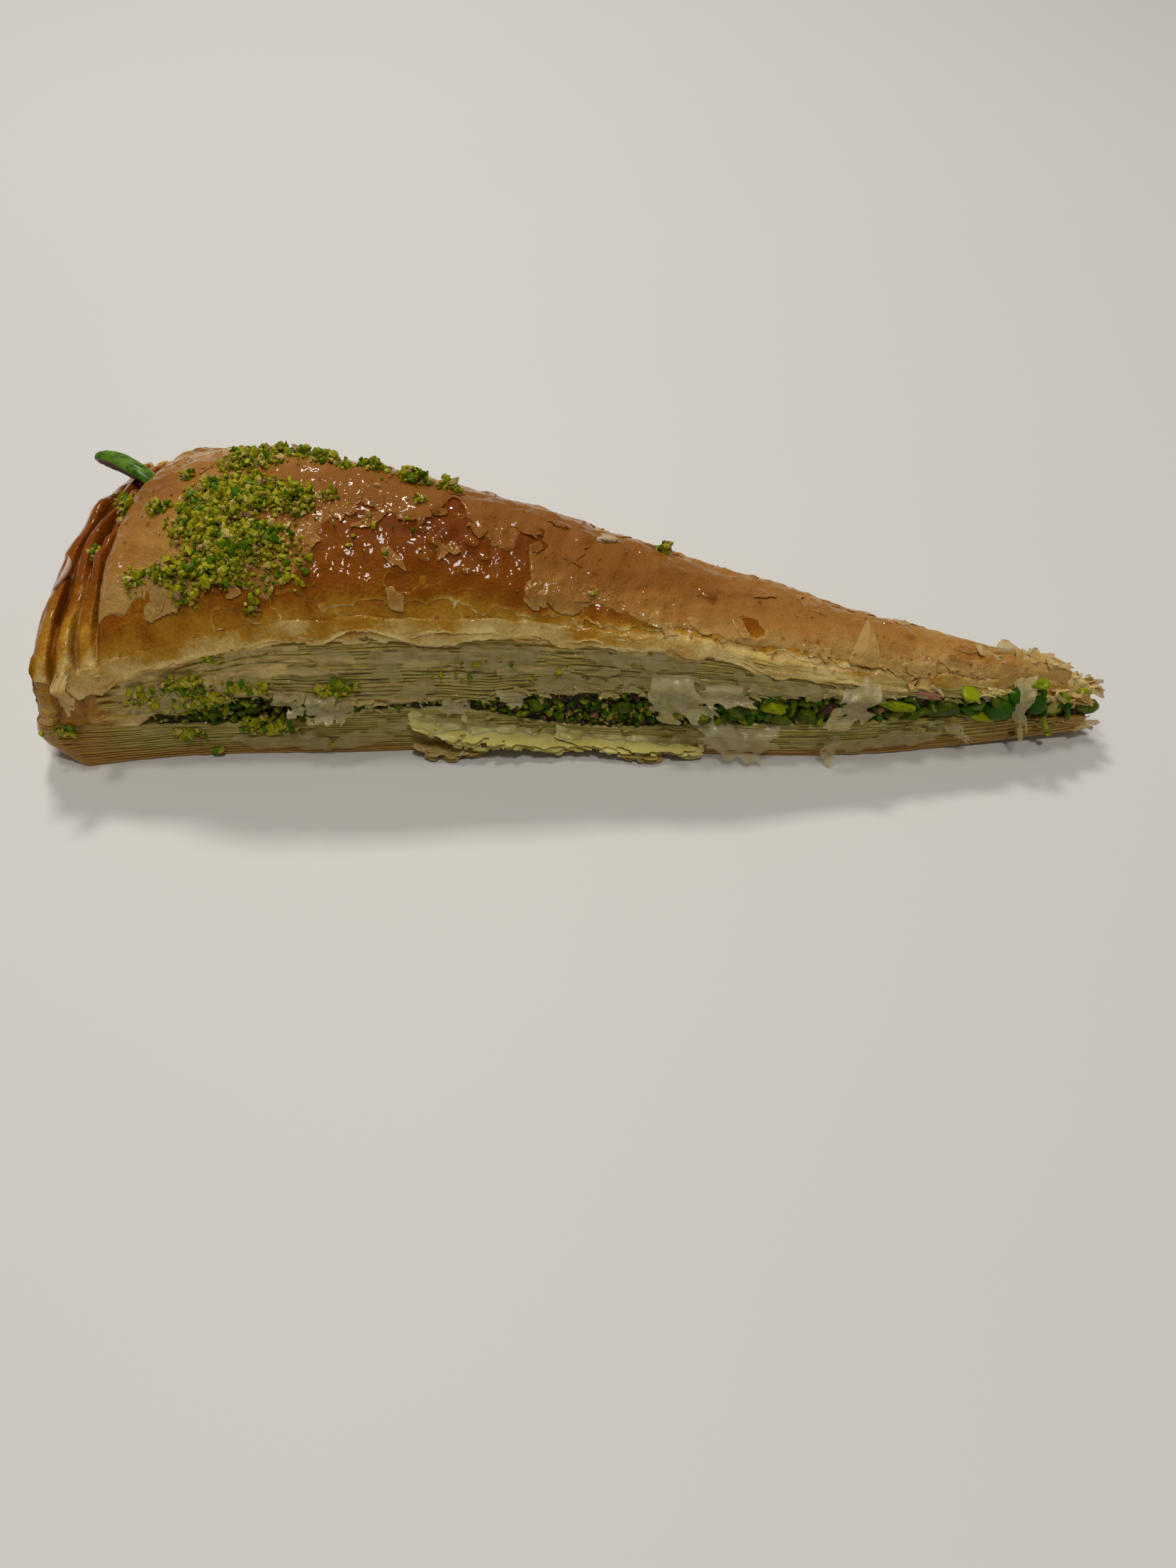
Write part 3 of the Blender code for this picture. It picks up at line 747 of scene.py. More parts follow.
def syrup(name, colour):
    """Boiled sugar syrup: clear, amber and mirror-smooth, with swirls of about 1.4 mm."""
    made = Finish(name)
    swirl = made.node("TexNoise", {"Vector": made.where, "Scale": 700.0, "Detail": 1.0})
    bump = made.node("Bump", {"Height": swirl, "Strength": 0.2, "Distance": 0.0002})
    surface = made.node("BsdfPrincipled", {
        "Base Color": colour, "Normal": bump, "Roughness": 0.04, "Alpha": 0.35,
        "Specular IOR Level": 0.9,
    })
    return made.finished(surface)


def kernel(name):
    """A slivered kernel: satin green with fine veins, beige at its rim and brown on its hollow face."""
    made = Finish(name)
    # veins of about 1.5 mm
    vein = made.node("TexNoise", {"Vector": made.where, "Scale": 650.0, "Detail": 4.0})
    stops = [(0.38, linear("2c5006")), (0.62, linear("5a8012"))]
    green = made.node("ValToRGB", {"Fac": vein}, stops)
    rimmed = made.node("Mix", {0: made.red, 6: green, 7: linear("b9a070")}, **COLOUR_MIX)
    skinned = made.node("Mix", {0: made.blue, 6: rimmed, 7: linear("7c5c3a")}, **COLOUR_MIX)
    bump = made.node("Bump", {"Height": vein, "Strength": 0.5, "Distance": 0.0003})
    surface = made.node("BsdfPrincipled", {
        "Base Color": skinned, "Normal": bump, "Roughness": 0.45, "Specular IOR Level": 0.12,
        "Coat Weight": 0.15, "Coat Roughness": 0.15,
    })
    return made.finished(surface)


def floor_finish(colour):
    """Painted board: plain, pale and matt, with a mottle that barely shows."""
    made = Finish("pale_board")
    mottle = made.node("TexNoise", {"Vector": made.where, "Scale": 6.0, "Detail": 2.0})
    toned = made.node("Mix", {0: mottle, 6: colour, 7: linear("d6d3cc")}, **COLOUR_MIX)
    surface = made.node("BsdfPrincipled", {"Base Color": toned, "Roughness": 0.6})
    return made.finished(surface)


# Upper pastry


def upper_stations():
    """Where the upper pastry is divided along X: finely over the folded rim."""
    folds = round((SHOULDER_X - RIM_X) / FOLD_STEP)
    crust = round((TIP_X - SHOULDER_X) / CRUST_STEP)
    return [RIM_X + FOLD_STEP * i for i in range(folds)] + [
        SHOULDER_X + (TIP_X - SHOULDER_X) * i / crust for i in range(crust + 1)
    ]


def corner_grooves(x, z, side):
    """Grooves that the folds leave down the near and far corners of the rim."""
    if x > SHOULDER_X + 0.0012:
        return 0.0
    wander = x + 0.0010 * noise_at(z * 120, 2.0, 8.0)
    return fold_depth(wander, cut(x, side))[1] * clamp((z - 0.003) / 0.006)


def upper_body(sizes):
    """The puffed upper sheets as one closed skin, with its crust, cut faces and folded rim."""
    xs = upper_stations()

    def place(along, v, w):
        x = xs[round(along * (len(xs) - 1))]
        v = 0.45 * v + 0.55 * (0.5 - 0.5 * math.cos(math.pi * v))
        near, far = near_cut(x) + corner_inset(x), far_cut(x) - corner_inset(x)
        y = between(near, far, v)
        top, bottom = top_height(x, y, sizes.blister), roof_height(x)
        shut = clamp((FILLING_START - x) / 0.0040)
        bottom -= shut * (bottom - shelf_height(x) + 0.0003)
        z = between(bottom, top, w)
        brown, hollow = browning(x, y), 0.0
        lean = lean_in(x, y) * w
        if v < 1e-6 or v > 1 - 1e-6:
            side = -1 if v < 0.5 else 1
            relief, groove = sheet_relief(x, z, side, sizes.sheet_pitch)
            corner = corner_grooves(x, z, side)
            y += side * (relief - 0.0006 * corner)
            mottle = 0.16 * noise_at(x * 210, 3.0, z * 170)
            rim = clamp((SHOULDER_X + 0.0022 - x) / 0.0030)
            brown = (0.18 + mottle) * rim + brown * max(0.0, w - 0.80) / 0.20
            # painted shade in the grooves between sheets and down the rim's corners
            hollow = max(0.3 * groove * w, 0.7 * corner)
        elif x < SHOULDER_X:
            # painted shade in the grooves between the rim's folds
            hollow = 0.85 * fold_depth(x, y)[1]
            brown = 0.80 * brown + 0.20 * noise_at(x * 420, y * 60, 3.0)
        if along == 0.0:
            ledge = math.floor(z / 0.0011 + 0.8 * noise_at(y * 60, 1.0, 3.0))
            x += 0.0004 * noise_at(y * 90, ledge * 4.1, 7.0)
            brown = 0.34 + 0.35 * noise_at(y * 150, z * 150, 4.0)
        torn = max(0.0, (x - 0.0740) / 0.0110)
        if torn > 0:
            y += 0.0009 * torn * noise_at(x * 420, 5.0, z * 520)
            z += 0.0009 * torn * w * noise_at(x * 420, y * 520, 8.0)
        if along == 1.0:
            x += 0.0026 * noise_at(y * 460, 0.0, z * 460)
        return Vector((x + rim_shift(x, y, z), y + lean, z)), (brown, 0.0, hollow)

    return block((len(xs) - 1, *CRUST_CELLS), place)


def crust_point(x, y, lift, blister):
    """A point that far above the crust, along its normal."""
    step = 0.0004
    z = top_height(x, y, blister)
    slope_x = (top_height(x + step, y, blister) - z) / step
    slope_y = (top_height(x, y + step, blister) - z) / step
    normal = Vector((-slope_x, -slope_y, 1.0)).normalized()
    return Vector((x + rim_shift(x, y, z), y + lean_in(x, y), z)) + normal * lift


class BAKLAVA_OT_upper_pastry(bpy.types.Operator):
    """Models the puffed upper pastry with its crust, cut faces and folded rim"""

    bl_idname = "baklava.upper_pastry"
    bl_label = "Upper pastry"

    def execute(self, context):
        sizes, colours = context.scene.baklava_sizes, context.scene.baklava_colours
        browns = [colours.crust_cream, colours.crust_gold, colours.crust_brown, colours.crust_dark]
        # the third colour is the darker amber of the painted shade in grooves and folds
        finish = filo("syruped_filo", browns, linear("7c4608"), gloss=0.90)
        piece_from("crust", upper_body(sizes), finish, ["upper_pastry"])
        return {"FINISHED"}


def add_skin(pile, edge, holes, lift, layer, sizes):
    """A thin outer skin over the crust, torn along both flanks, at the tip and round its holes."""
    start, end = SHOULDER_X + 0.0004, TIP_X - 0.0030 - 0.0020 * layer

    def spot(u, v):
        x = between(start, end, u)
        share = (v * 2 - 1) * 0.985
        near, far = near_cut(x), far_cut(x)
        return x, near + (far - near) * (share + 1) / 2, share

    def inside(u, v):
        x, y, share = spot(u, v)
        tear = ragged(x * 170, y * 220, layer * 5.0, rough=0.6)
        room = min((y - edge(x)) / 0.0040, (0.88 - 0.10 * layer - share) * 4, (end - x) / 0.0110)
        room = min(room, (x - start) / 0.0040 + 0.10)
        room += 0.40 * tear
        for cx, cy, rx, ry in holes:
            away = math.hypot((x - cx) / rx, (y - cy) / ry)
            room = min(room, away - 1 + 0.9 * tear)
        return room

    def place(u, v):
        x, y, share = spot(u, v)
        free = clamp(1 - inside(u, v) / 0.14)
        curl = 0.00030 * free * free * max(0.0, noise_at(x * 150, y * 150, layer * 2.0))
        dusty = 0.10 * layer * clamp((-0.048 - x) / 0.016)
        colour = max(PALEST, browning(x, y) - 0.16 * free - dusty)
        return crust_point(x, y, lift * (1 - 0.6 * free) + curl, sizes.blister), (colour, 0.0, 0.0)

    add_sheet(pile, SKIN_CELLS, place, inside, sizes.sheet_thickness)


def add_facet(pile, corners, lift, sizes):
    """A folded-over three-cornered bit of skin: its apex first, then the two ends of its foot."""
    apex, left, right = (Vector(c) for c in corners)

    def spot(u, v):
        down = 0.04 + 0.96 * v
        return apex + (left - apex) * down * (1 - u) + (right - apex) * down * u

    def inside(u, v):
        x, y = spot(u, v)
        return 1 - v + 0.30 * noise_at(x * 600, y * 600, 1.0)

    def place(u, v):
        x, y = spot(u, v)
        ridge = 1 - abs(2 * u - 1)
        return crust_point(x, y, lift * (0.4 + ridge), sizes.blister), (0.16, 0.0, 0.0)

    add_sheet(pile, FACET_CELLS, place, inside, sizes.sheet_thickness)


def add_lip(pile, side, layer, sizes):
    """The crust's own torn hem, which hangs a little way down the cut."""
    start, end = SHOULDER_X - 0.0040, TIP_X - 0.0030

    def hang(x):
        drop = ragged(x * 60, layer * 9.0, side * 3.0, rough=0.7, octaves=2)
        return 0.0016 + 0.0028 * max(-0.4, drop) + 0.0012 * max(0.0, (-0.062 - x) / 0.020)

    def inside(u, v):
        x = between(start, end, u)
        tear = ragged(x * 330, v * 2.2, layer * 6.0 + side)
        return (1 - v) * 1.5 - 0.12 + 0.8 * tear

    def place(u, v):
        x = between(start, end, u)
        root = crust_point(x, cut(x, side) - side * HEM_INSET, 0.00016, sizes.blister)
        z = top_height(x, cut(x, side), sizes.blister) - hang(x) * v
        ripple = 0.0003 * noise_at(x * 260, v * 3, layer * 2.0)
        out = 0.00012 + (0.00024 + 0.0002 * layer) * v + ripple * v
        y = cut(x, side) + side * (out - UPPER_LEAN * (1 - 0.25 * v))
        hung = bent(x, y, z)
        point = hung.lerp(root, max(0.0, 1 - v / 0.25) ** 0.7)
        baked = max(0.10, browning(x, cut(x, side) - side * HEM_INSET))
        patchy = 0.16 * noise_at(x * 130, v * 1.4, side * 5.0)
        return point, (baked * (1 - v) + 0.02 * v + patchy, 0.0, 0.0)

    add_sheet(pile, HEM_CELLS, place, inside, sizes.sheet_thickness)


def add_scrap(pile, centre, size, angle, number, lift, sizes):
    """A flaked bit of skin that lies on the crust with its edges up."""
    turn = Matrix.Rotation(angle, 2)

    def spot(u, v):
        across = turn @ Vector(((u - 0.5) * size[0], (v - 0.5) * size[1]))
        return centre[0] + across.x, centre[1] + across.y

    def inside(u, v):
        tear = ragged(u * size[0] * 420, v * size[1] * 420, number * 5.0)
        return 0.72 - 0.85 * math.hypot(2 * u - 1, 2 * v - 1) + 0.8 * tear

    def place(u, v):
        x, y = spot(u, v)
        free = clamp(1 - inside(u, v) / 0.4)
        curl = 0.0005 * free * max(0.0, noise_at(u * 2, v * 2, number * 3.0))
        brown = max(0.0, browning(x, y) - 0.05 - 0.12 * free)
        return crust_point(x, y, lift + curl, sizes.blister), (brown, 0.0, 0.0)

    add_sheet(pile, SCRAP_CELLS, place, inside, sizes.sheet_thickness, joined=True)


def strewn_scraps(pile, rng, sizes):
    """Flaked bits along the edges of the outer skin and here and there on both flanks."""
    for number in range(SKIN_SCRAPS):
        x = rng.uniform(-0.0780, 0.0700)
        if number % 2:
            y = outer_edge(x) + rng.uniform(-0.0016, 0.0022)
        else:
            y = across(x, rng.uniform(0.06, 0.94))
        size = (rng.uniform(0.0022, 0.0070), rng.uniform(0.0014, 0.0036))
        if abs(across_share(x, y)) < 0.86:
            add_scrap(pile, (x, y), size, rng.uniform(-0.9, 0.9), number, 0.00038, sizes)


class BAKLAVA_OT_outer_skins(bpy.types.Operator):
    """Lays the two torn outer skins and their folded bits over the crust"""

    bl_idname = "baklava.outer_skins"
    bl_label = "Outer skins"

    def execute(self, context):
        sizes, colours = context.scene.baklava_sizes, context.scene.baklava_colours
        browns = [colours.crust_cream, colours.crust_gold, colours.crust_brown, colours.crust_dark]
        golden = filo("golden_filo", browns, colours.crust_dark, gloss=0.85)
        pile = Pile()
        add_skin(pile, middle_edge, MIDDLE_HOLES, 0.00012, 0, sizes)
        for side in (-1, 1):
            for layer in (0, 1):
                add_lip(pile, side, layer, sizes)
        piece_from("middle_skin", pile.whole(), golden)
        dry = [colours.skin_pale, colours.skin_pale, linear("a67232"), colours.skin_dark]
        papery = filo("papery_filo", dry, colours.crust_dark, gloss=0.60)
        pile = Pile()
        add_skin(pile, outer_edge, OUTER_HOLES, 0.00028, 1, sizes)
        strewn_scraps(pile, random.Random(sizes.seed + 6), sizes)
        add_facet(pile, ((0.0432, 0.0005), (0.0394, -0.0094), (0.0461, -0.0088)), 0.00050, sizes)
        add_facet(pile, ((-0.0075, 0.0110), (-0.0010, 0.0125), (-0.0040, 0.0085)), 0.00040, sizes)
        piece_from("outer_skin", pile.whole(), papery)
        return {"FINISHED"}


# Cut faces


def add_ribbon(pile, side, level, keep, out, colour, span, sizes):
    """The edge of one sheet along a cut: a strip rooted in the face that stands out a little."""
    start, end = span

    def along(u):
        return between(start, end, u)

    def inside(u, v):
        return keep(along(u))

    def place(u, v):
        x = along(u)
        z = level(x) - 0.0002 * v
        lean = UPPER_LEAN * (z - roof_height(x)) / max(0.001, edge_height(x, side) - roof_height(x))
        reach = -0.0020 * (1 - v) + out(x) * v - max(0.0, lean)
        y = cut(x, side) + side * reach
        return bent(x, y, z), colour(x, z)

    cells = (round((end - start) / RIBBON_STEP), 3)
    add_sheet(pile, cells, place, inside, 1.5 * sizes.sheet_thickness)


def upper_ribbons(pile, side, sizes):
    """Sheet edges of the upper pastry, counted down from the crust's edge."""
    span = (SHOULDER_X - 0.0010, TIP_X - 0.0008)
    for i in range(UPPER_SHEETS):

        def level(x, i=i):
            depth = edge_height(x, side) - roof_height(x)
            squeeze = clamp(depth / 0.0150, 0.42)
            wave = noise_at(x * 42, i * 0.9, side * 3.0)
            wave += 0.35 * noise_at(x * 170, i * 1.7, side * 4.0)
            return edge_height(x, side) - (i + 0.7 + 1.0 * wave) * sizes.sheet_pitch * squeeze

        def keep(x, i=i):
            wet = 0.45 * clamp((-0.042 - x) / 0.020)
            gap = 0.24 - wet + noise_at(x * 55, i * 3.3, side * 5.0)
            return min((level(x, i) - roof_height(x) - 0.0002) / 0.001, gap)

        def out(x, i=i):
            step = noise_at(x * 60, i * 3.1, side)
            fray = noise_at(x * 380, i * 7.7, side)
            return 0.00006 + 0.00030 * step + 0.00028 * fray

        def colour(x, z, i=i):
            depth = max(0.002, edge_height(x, side) - roof_height(x))
            down = clamp((edge_height(x, side) - z) / depth)
            return min(1.0, max(0.0, 0.30 - 2.2 * down) + end_gold(x)), min(1.0, 2.2 * down), 0.0

        add_ribbon(pile, side, level, keep, out, colour, span, sizes)


def lower_ribbons(pile, side, sizes):
    """Sheet edges of the lower pastry, brown at the base."""
    span = (RIM_X + 0.0030, TIP_X - 0.0008)
    for i in range(LOWER_SHEETS):

        def level(x, i=i):
            wave = noise_at(x * 42, i * 0.9, side * 7.0)
            return max(0.0, underside(x)) + 0.0006 + (i + 0.35 * wave) * LOWER_PITCH

        def keep(x, i=i):
            gap = 0.24 + noise_at(x * 60, i * 3.9, side * 9.0)
            return min((shelf_height(x) - level(x, i) - 0.0002) / 0.001, gap)

        def out(x, i=i):
            step = noise_at(x * 48, i * 4.1, side * 2.0)
            fray = noise_at(x * 420, i * 6.7, side * 2.0)
            return 0.00010 + 0.00026 * step + 0.00018 * fray

        def colour(x, z, i=i):
            base = 0.0023 * (1 + 0.8 * noise_at(x * 75, 2.0, side * 2.0))
            return clamp(max(1.5 - z / base, end_gold(x))), 1.0, 0.0

        add_ribbon(pile, side, level, keep, out, colour, span, sizes)


def add_veil(pile, rng, side, number, sizes, soaked=False):
    """A torn piece of one sheet that clings to a cut and hides the sheet edges behind it."""
    length, height = rng.uniform(0.006, 0.017), rng.uniform(0.0018, 0.0050)
    x0 = rng.uniform(SHOULDER_X + 0.003, (0.0760 if soaked else 0.0560) - length)
    hang = rng.uniform(0.10, 0.70)
    slope = rng.uniform(-0.04, 0.04)

    def inside(u, v):
        tear = ragged(u * length * 300, v * height * 420, number * 7.0, rough=0.6)
        return 0.66 - 0.85 * math.hypot(2 * u - 1, 2 * v - 1) + 0.8 * tear

    def place(u, v):
        x = x0 + length * u
        edge, roof = edge_height(x, side), roof_height(x)
        if soaked:
            edge, roof = shelf_height(x), 0.0024 + underside(x)
        top = edge - (edge - roof) * hang + slope * (x - x0)
        z = top + (max(roof - 0.0012, top - height) - top) * v
        lean = 0.0 if soaked else UPPER_LEAN * (z - roof) / max(0.001, edge - roof)
        billow = noise_at(x * 230, z * 230, number * 3.0)
        y = cut(x, side) + side * (0.00040 + 0.00045 * billow - max(0.0, lean))
        return bent(x, y, z), UNTINTED

    cells = (round(length / VEIL_STEP), 9)
    add_sheet(pile, cells, place, inside, sizes.sheet_thickness, joined=True)


def add_wisps(pile, rng, side, count, height, spread, colour):
    """Small torn scraps of sheet along a lip of the cut."""
    for _ in range(count):
        x = rng.uniform(-0.0660, TIP_X - 0.0040)
        z = height(x) + rng.uniform(*spread)
        length = rng.uniform(0.0010, 0.0032)
        size = (length, length * rng.uniform(0.3, 0.6), length * rng.uniform(0.05, 0.20))
        roll = tilted(rng, (0.9, 2.2), (-0.5, 0.5), (-0.4, 0.4))
        y = cut(x, side) + side * rng.uniform(-0.0003, 0.0004)
        shred(pile, bent(x, y, z), size, roll, colour, rng)


class BAKLAVA_OT_cut_faces(bpy.types.Operator):
    """Adds the edges of single sheets along both cuts, with torn wisps at the lips"""

    bl_idname = "baklava.cut_faces"
    bl_label = "Cut faces"

    def execute(self, context):
        sizes, colours = context.scene.baklava_sizes, context.scene.baklava_colours
        rng = random.Random(sizes.seed + 2)
        upper = cut_filo(
            "cut_upper_filo", colours.cut_cream, colours.cut_wet, linear("948440"), linear("c89c4c"),
        )
        lower = cut_filo(
            "cut_lower_filo", colours.soaked_pale, colours.soaked_pale, colours.soaked_deep,
            colours.base_brown,
        )
        veil = thin_filo("clinging_sheet", linear("c0ac62"), linear("d8c68e"), clear=0.72)
        for side, name in ((-1, "near"), (1, "far")):
            pile = Pile()
            upper_ribbons(pile, side, sizes)
            add_wisps(pile, rng, side, UPPER_WISPS, roof_height, (-0.0006, 0.0016), (0.0, 0.15, 0.0))
            piece_from(f"upper_sheets_{name}", pile.whole(), upper)
            pile = Pile()
            for number in range(UPPER_VEILS + LOWER_VEILS):
                add_veil(pile, rng, side, number, sizes, soaked=number >= UPPER_VEILS)
            piece_from(f"veils_{name}", pile.whole(), veil)
            pile = Pile()
            lower_ribbons(pile, side, sizes)
            add_wisps(pile, rng, side, LOWER_WISPS, shelf_height, (-0.0022, 0.0002), (0.0, 0.9, 0.0))
            piece_from(f"lower_sheets_{name}", pile.whole(), lower)
        return {"FINISHED"}


# Lower pastry


def lower_body(sizes):
    """Dense lower sheets on their browned base."""
    length = TIP_X - RIM_X

    def place(along, v, w):
        along = along**1.25
        x = RIM_X + length * along
        near, far = near_cut(x) + corner_inset(x), far_cut(x) - corner_inset(x)
        y = between(near, far, v)
        bottom, top = max(0.0, underside(x)), shelf_height(x)
        z = between(bottom, top, w)
        base = 0.0021 * (1 + 0.8 * noise_at(x * 75, 2.0, y * 60))
        brown = max(0.0, 1.3 - (z - bottom) / base, end_gold(x))
        if v in (0.0, 1.0) and w > 0.0:
            side = -1 if v < 0.5 else 1
            relief, groove = sheet_relief(x, z, side, sizes.sheet_pitch)
            y += side * (0.5 * relief - 0.0005 * corner_grooves(x, z, side)) * min(1.0, 4 * w)
        if along == 0.0:
            ledge = math.floor(z / 0.0010 + 0.8 * noise_at(y * 60, 1.0, 5.0))
            x += 0.0004 * noise_at(y * 90, ledge * 4.1, 2.0)
        if along == 1.0:
            x += 0.0018 * noise_at(y * 400, 3.0, z * 400)
        return bent(x, y, z), (min(1.0, brown), 1.0, 0.0)

    return block(BASE_CELLS, place)


# Torn bands of the lower pastry: start, end, heights of the upper and the lower line at both ends,
# how far the lower line reaches out, and the side
BANDS = (
    (-0.0335, -0.0015, 0.0106, 0.0044, 0.0040, 0.0004, 0.0032, -1),
    (-0.0085, 0.0176, 0.0062, 0.0046, 0.0016, 0.0004, 0.0026, -1),
    (-0.0480, -0.0250, 0.0070, 0.0045, 0.0008, 0.0004, 0.0024, 1),
    (0.0100, 0.0320, 0.0060, 0.0034, 0.0008, 0.0006, 0.0020, 1),
)
BASE_BANDS = (
    (-0.0330, -0.0200, 0.0040, 0.0038, 0.0003, 0.0003, 0.0034, -1),
    (0.0015, 0.0130, 0.0028, 0.0024, 0.0003, 0.0003, 0.0030, -1),
)


def add_band(pile, band, ply, colour, sizes):
    """One ply of a soaked band that peels off the cut face and droops to the floor."""
    start, end, high, high_end, low, low_end, reach, side = band

    def inside(u, v):
        x = between(start, end, u)
        tear = ragged(x * 330, v * 2.2, ply * 4.0 + reach * 900, octaves=5)
        return min(u * 8, (1 - u) * 5, (1 - v) * 2.0) - 0.15 + 0.75 * tear

    def place(u, v):
        x = between(start, end, u)
        top = high + (high_end - high) * u - 0.0010 * ply
        bottom = low + (low_end - low) * u + 0.0011 * ply
        bottom += 0.75 * (top - bottom) * max(0.0, 1 - u / 0.30) ** 1.5
        wave = noise_at(x * 260, v * 2.5, ply * 7.0)
        bulge = math.sin(math.pi * (0.08 + 0.84 * u)) ** 0.5
        rumple = noise_at(x * 520, v * 5.0, ply * 3.0)
        out = reach * v**1.3 * bulge - 0.0012 * (1 - v) + 0.0003 * ply + 0.0002 * wave + 0.0002 * rumple
        z = max(LOWEST, top + (bottom - top) * v + 0.0005 * wave)
        y = cut(x, side) + side * out
        return Vector((x, y, z)), colour

    cells = (round((end - start) / BAND_STEP), 18)
    add_sheet(pile, cells, place, inside, 1.3 * sizes.sheet_thickness, joined=True)


class BAKLAVA_OT_lower_pastry(bpy.types.Operator):
    """Models the soaked lower pastry, its browned base and the bands that peel off it"""

    bl_idname = "baklava.lower_pastry"
    bl_label = "Lower pastry"

    def execute(self, context):
        sizes, colours = context.scene.baklava_sizes, context.scene.baklava_colours
        finish = cut_filo(
            "soaked_filo", colours.soaked_pale, colours.soaked_pale, colours.soaked_deep,
            colours.base_brown,
        )
        piece_from("soaked_base", lower_body(sizes), finish, ["lower_pastry"])
        yellow = cut_filo(
            "soaked_band", colours.band_yellow, colours.band_yellow, linear("c0ac50"), linear("94702c"),
        )
        pile = Pile()
        for band in BANDS:
            for ply in range(3):
                add_band(pile, band, ply, (0.0, 0.8, 0.0), sizes)
        for band in BASE_BANDS:
            for ply in range(2):
                add_band(pile, band, ply, (0.75, 1.0, 0.0), sizes)
        piece_from("torn_bands", pile.whole(), yellow)
        return {"FINISHED"}


# Hanging flakes: x, height of the root and of the free end, widths there, drift and side
FLAKES = (
    (0.0112, 0.0195, 0.0108, 0.0060, 0.0100, 0.0035, -1),
    (0.0190, 0.0176, 0.0142, 0.0060, 0.0100, 0.0020, -1),
    (0.0425, 0.0172, 0.0100, 0.0050, 0.0066, -0.0018, -1),
    (0.0710, 0.0156, 0.0040, 0.0036, 0.0012, 0.0024, -1),
    (0.0396, 0.0058, 0.0004, 0.0028, 0.0020, -0.0004, -1),
    (0.0610, 0.0066, 0.0030, 0.0030, 0.0012, 0.0040, -1),
    (0.0232, 0.0080, 0.0008, 0.0120, 0.0090, 0.0030, -1),
    (-0.0868, 0.0206, 0.0146, 0.0022, 0.0018, 0.0004, -1),
    (-0.0530, 0.0148, 0.0112, 0.0044, 0.0036, 0.0016, -1),
    (-0.0480, 0.0146, 0.0098, 0.0052, 0.0040, 0.0008, -1),
    (-0.0440, 0.0128, 0.0090, 0.0040, 0.0028, -0.0010, -1),
    (-0.0255, 0.0128, 0.0092, 0.0050, 0.0034, 0.0012, -1),
    (-0.0160, 0.0142, 0.0118, 0.0054, 0.0040, 0.0010, -1),
    (-0.0335, 0.0190, 0.0105, 0.0060, 0.0040, -0.0020, 1),
    (0.0235, 0.0175, 0.0080, 0.0050, 0.0066, 0.0020, 1),
    (0.0560, 0.0142, 0.0080, 0.0040, 0.0030, 0.0015, 1),
)
FLAKE_CLEARANCE = 0.0018


def add_flake(pile, index, sizes):
    """A torn sheet that leaves the cut face and hangs in front of it, with a frayed free end."""
    x0, high, low, top_width, low_width, drift, side = FLAKES[index]
    clear = min(FLAKE_CLEARANCE, 0.3 * (high - low))

    def inside(u, v):
        tear = ragged(u * 3.4, v * 3.4, index * 6.0, finer=2.3, octaves=5)
        return 0.80 - 0.85 * math.hypot(2 * u - 1, max(0.0, 1.7 * v - 0.7)) + 0.85 * tear

    def place(u, v):
        width = 1.25 * (top_width + (low_width - top_width) * v)
        sway = 0.0006 * noise_at(v * 3, index * 2.0, 5.0)
        x = x0 + drift * v * v + width * (u - 0.5) + sway
        bend = min(1.0, v / 0.22)
        wave = noise_at(u * 3.0, v * 2.4, index * 3.0)
        out = clear * bend - 0.0014 * (1 - bend) + 0.0009 * wave * v
        fold = 0.0012 * max(0.0, v - 0.80) / 0.20
        root = high + 0.0018 * noise_at(u * 2.5, index * 4.0, 2.0)
        z = max(LOWEST, root + (low - root) * v)
        y = cut(x, side) + side * (out + fold)
        return Vector((x, y, z)), UNTINTED

    add_sheet(pile, FLAKE_CELLS, place, inside, sizes.sheet_thickness, joined=True)


class BAKLAVA_OT_flakes(bpy.types.Operator):
    """Hangs single torn sheets over the cuts and frays the broken tip"""

    bl_idname = "baklava.flakes"
    bl_label = "Hanging flakes"

    def execute(self, context):
        sizes = context.scene.baklava_sizes
        rng = random.Random(sizes.seed + 3)
        pile, golden = Pile(), Pile()
        for index, flake in enumerate(FLAKES):
            add_flake(golden if flake[0] < SHOULDER_X else pile, index, sizes)
        glassy = thin_filo("glassy_sheet", linear("ccb878"), linear("e0d2a4"), clear=0.68)
        piece_from("hanging_flakes", pile.whole(), glassy)
        pile = golden
        for _ in range(RIDGE_SHREDS):
            x = rng.uniform(0.0640, 0.0810)
            y = across(x, rng.uniform(0.45, 0.95))
            turn = tilted(rng, (0.1, 0.8), (-0.1, 0.3), (-0.3, 0.3))
            length = rng.uniform(0.0034, 0.0068)
            size = (length, 0.45 * length, 0.08 * length)
            place = crust_point(x, y, 0.0004, sizes.blister)
            shred(pile, place, size, turn, UNTINTED, rng)
        for _ in range(TIP_SHREDS):
            x = TIP_X - rng.uniform(-0.0012, 0.0100) * rng.uniform(0.3, 1.0)
            y = rng.uniform(near_cut(x), far_cut(x)) if x < TIP_X else rng.uniform(-0.0026, 0.0024)
            room = roof_height(x), crust_height(min(x, TIP_X), y)
            z = rng.uniform(*rng.choice((room, (underside(x), shelf_height(x)))))
            length = rng.uniform(0.0016, 0.0044)
            turn = tilted(rng, (-1.2, 1.2), (-0.6, 0.6), (-0.7, 0.7))
            size = (length, 0.5 * length, 0.10 * length)
            shred(pile, (x, y, z), size, turn, UNTINTED, rng)
        amber = thin_filo("frayed_sheet", linear("cfa250"), linear("e2c888"), clear=0.40)
        piece_from("frayed_tip", pile.whole(), amber)
        return {"FINISHED"}


# Filling

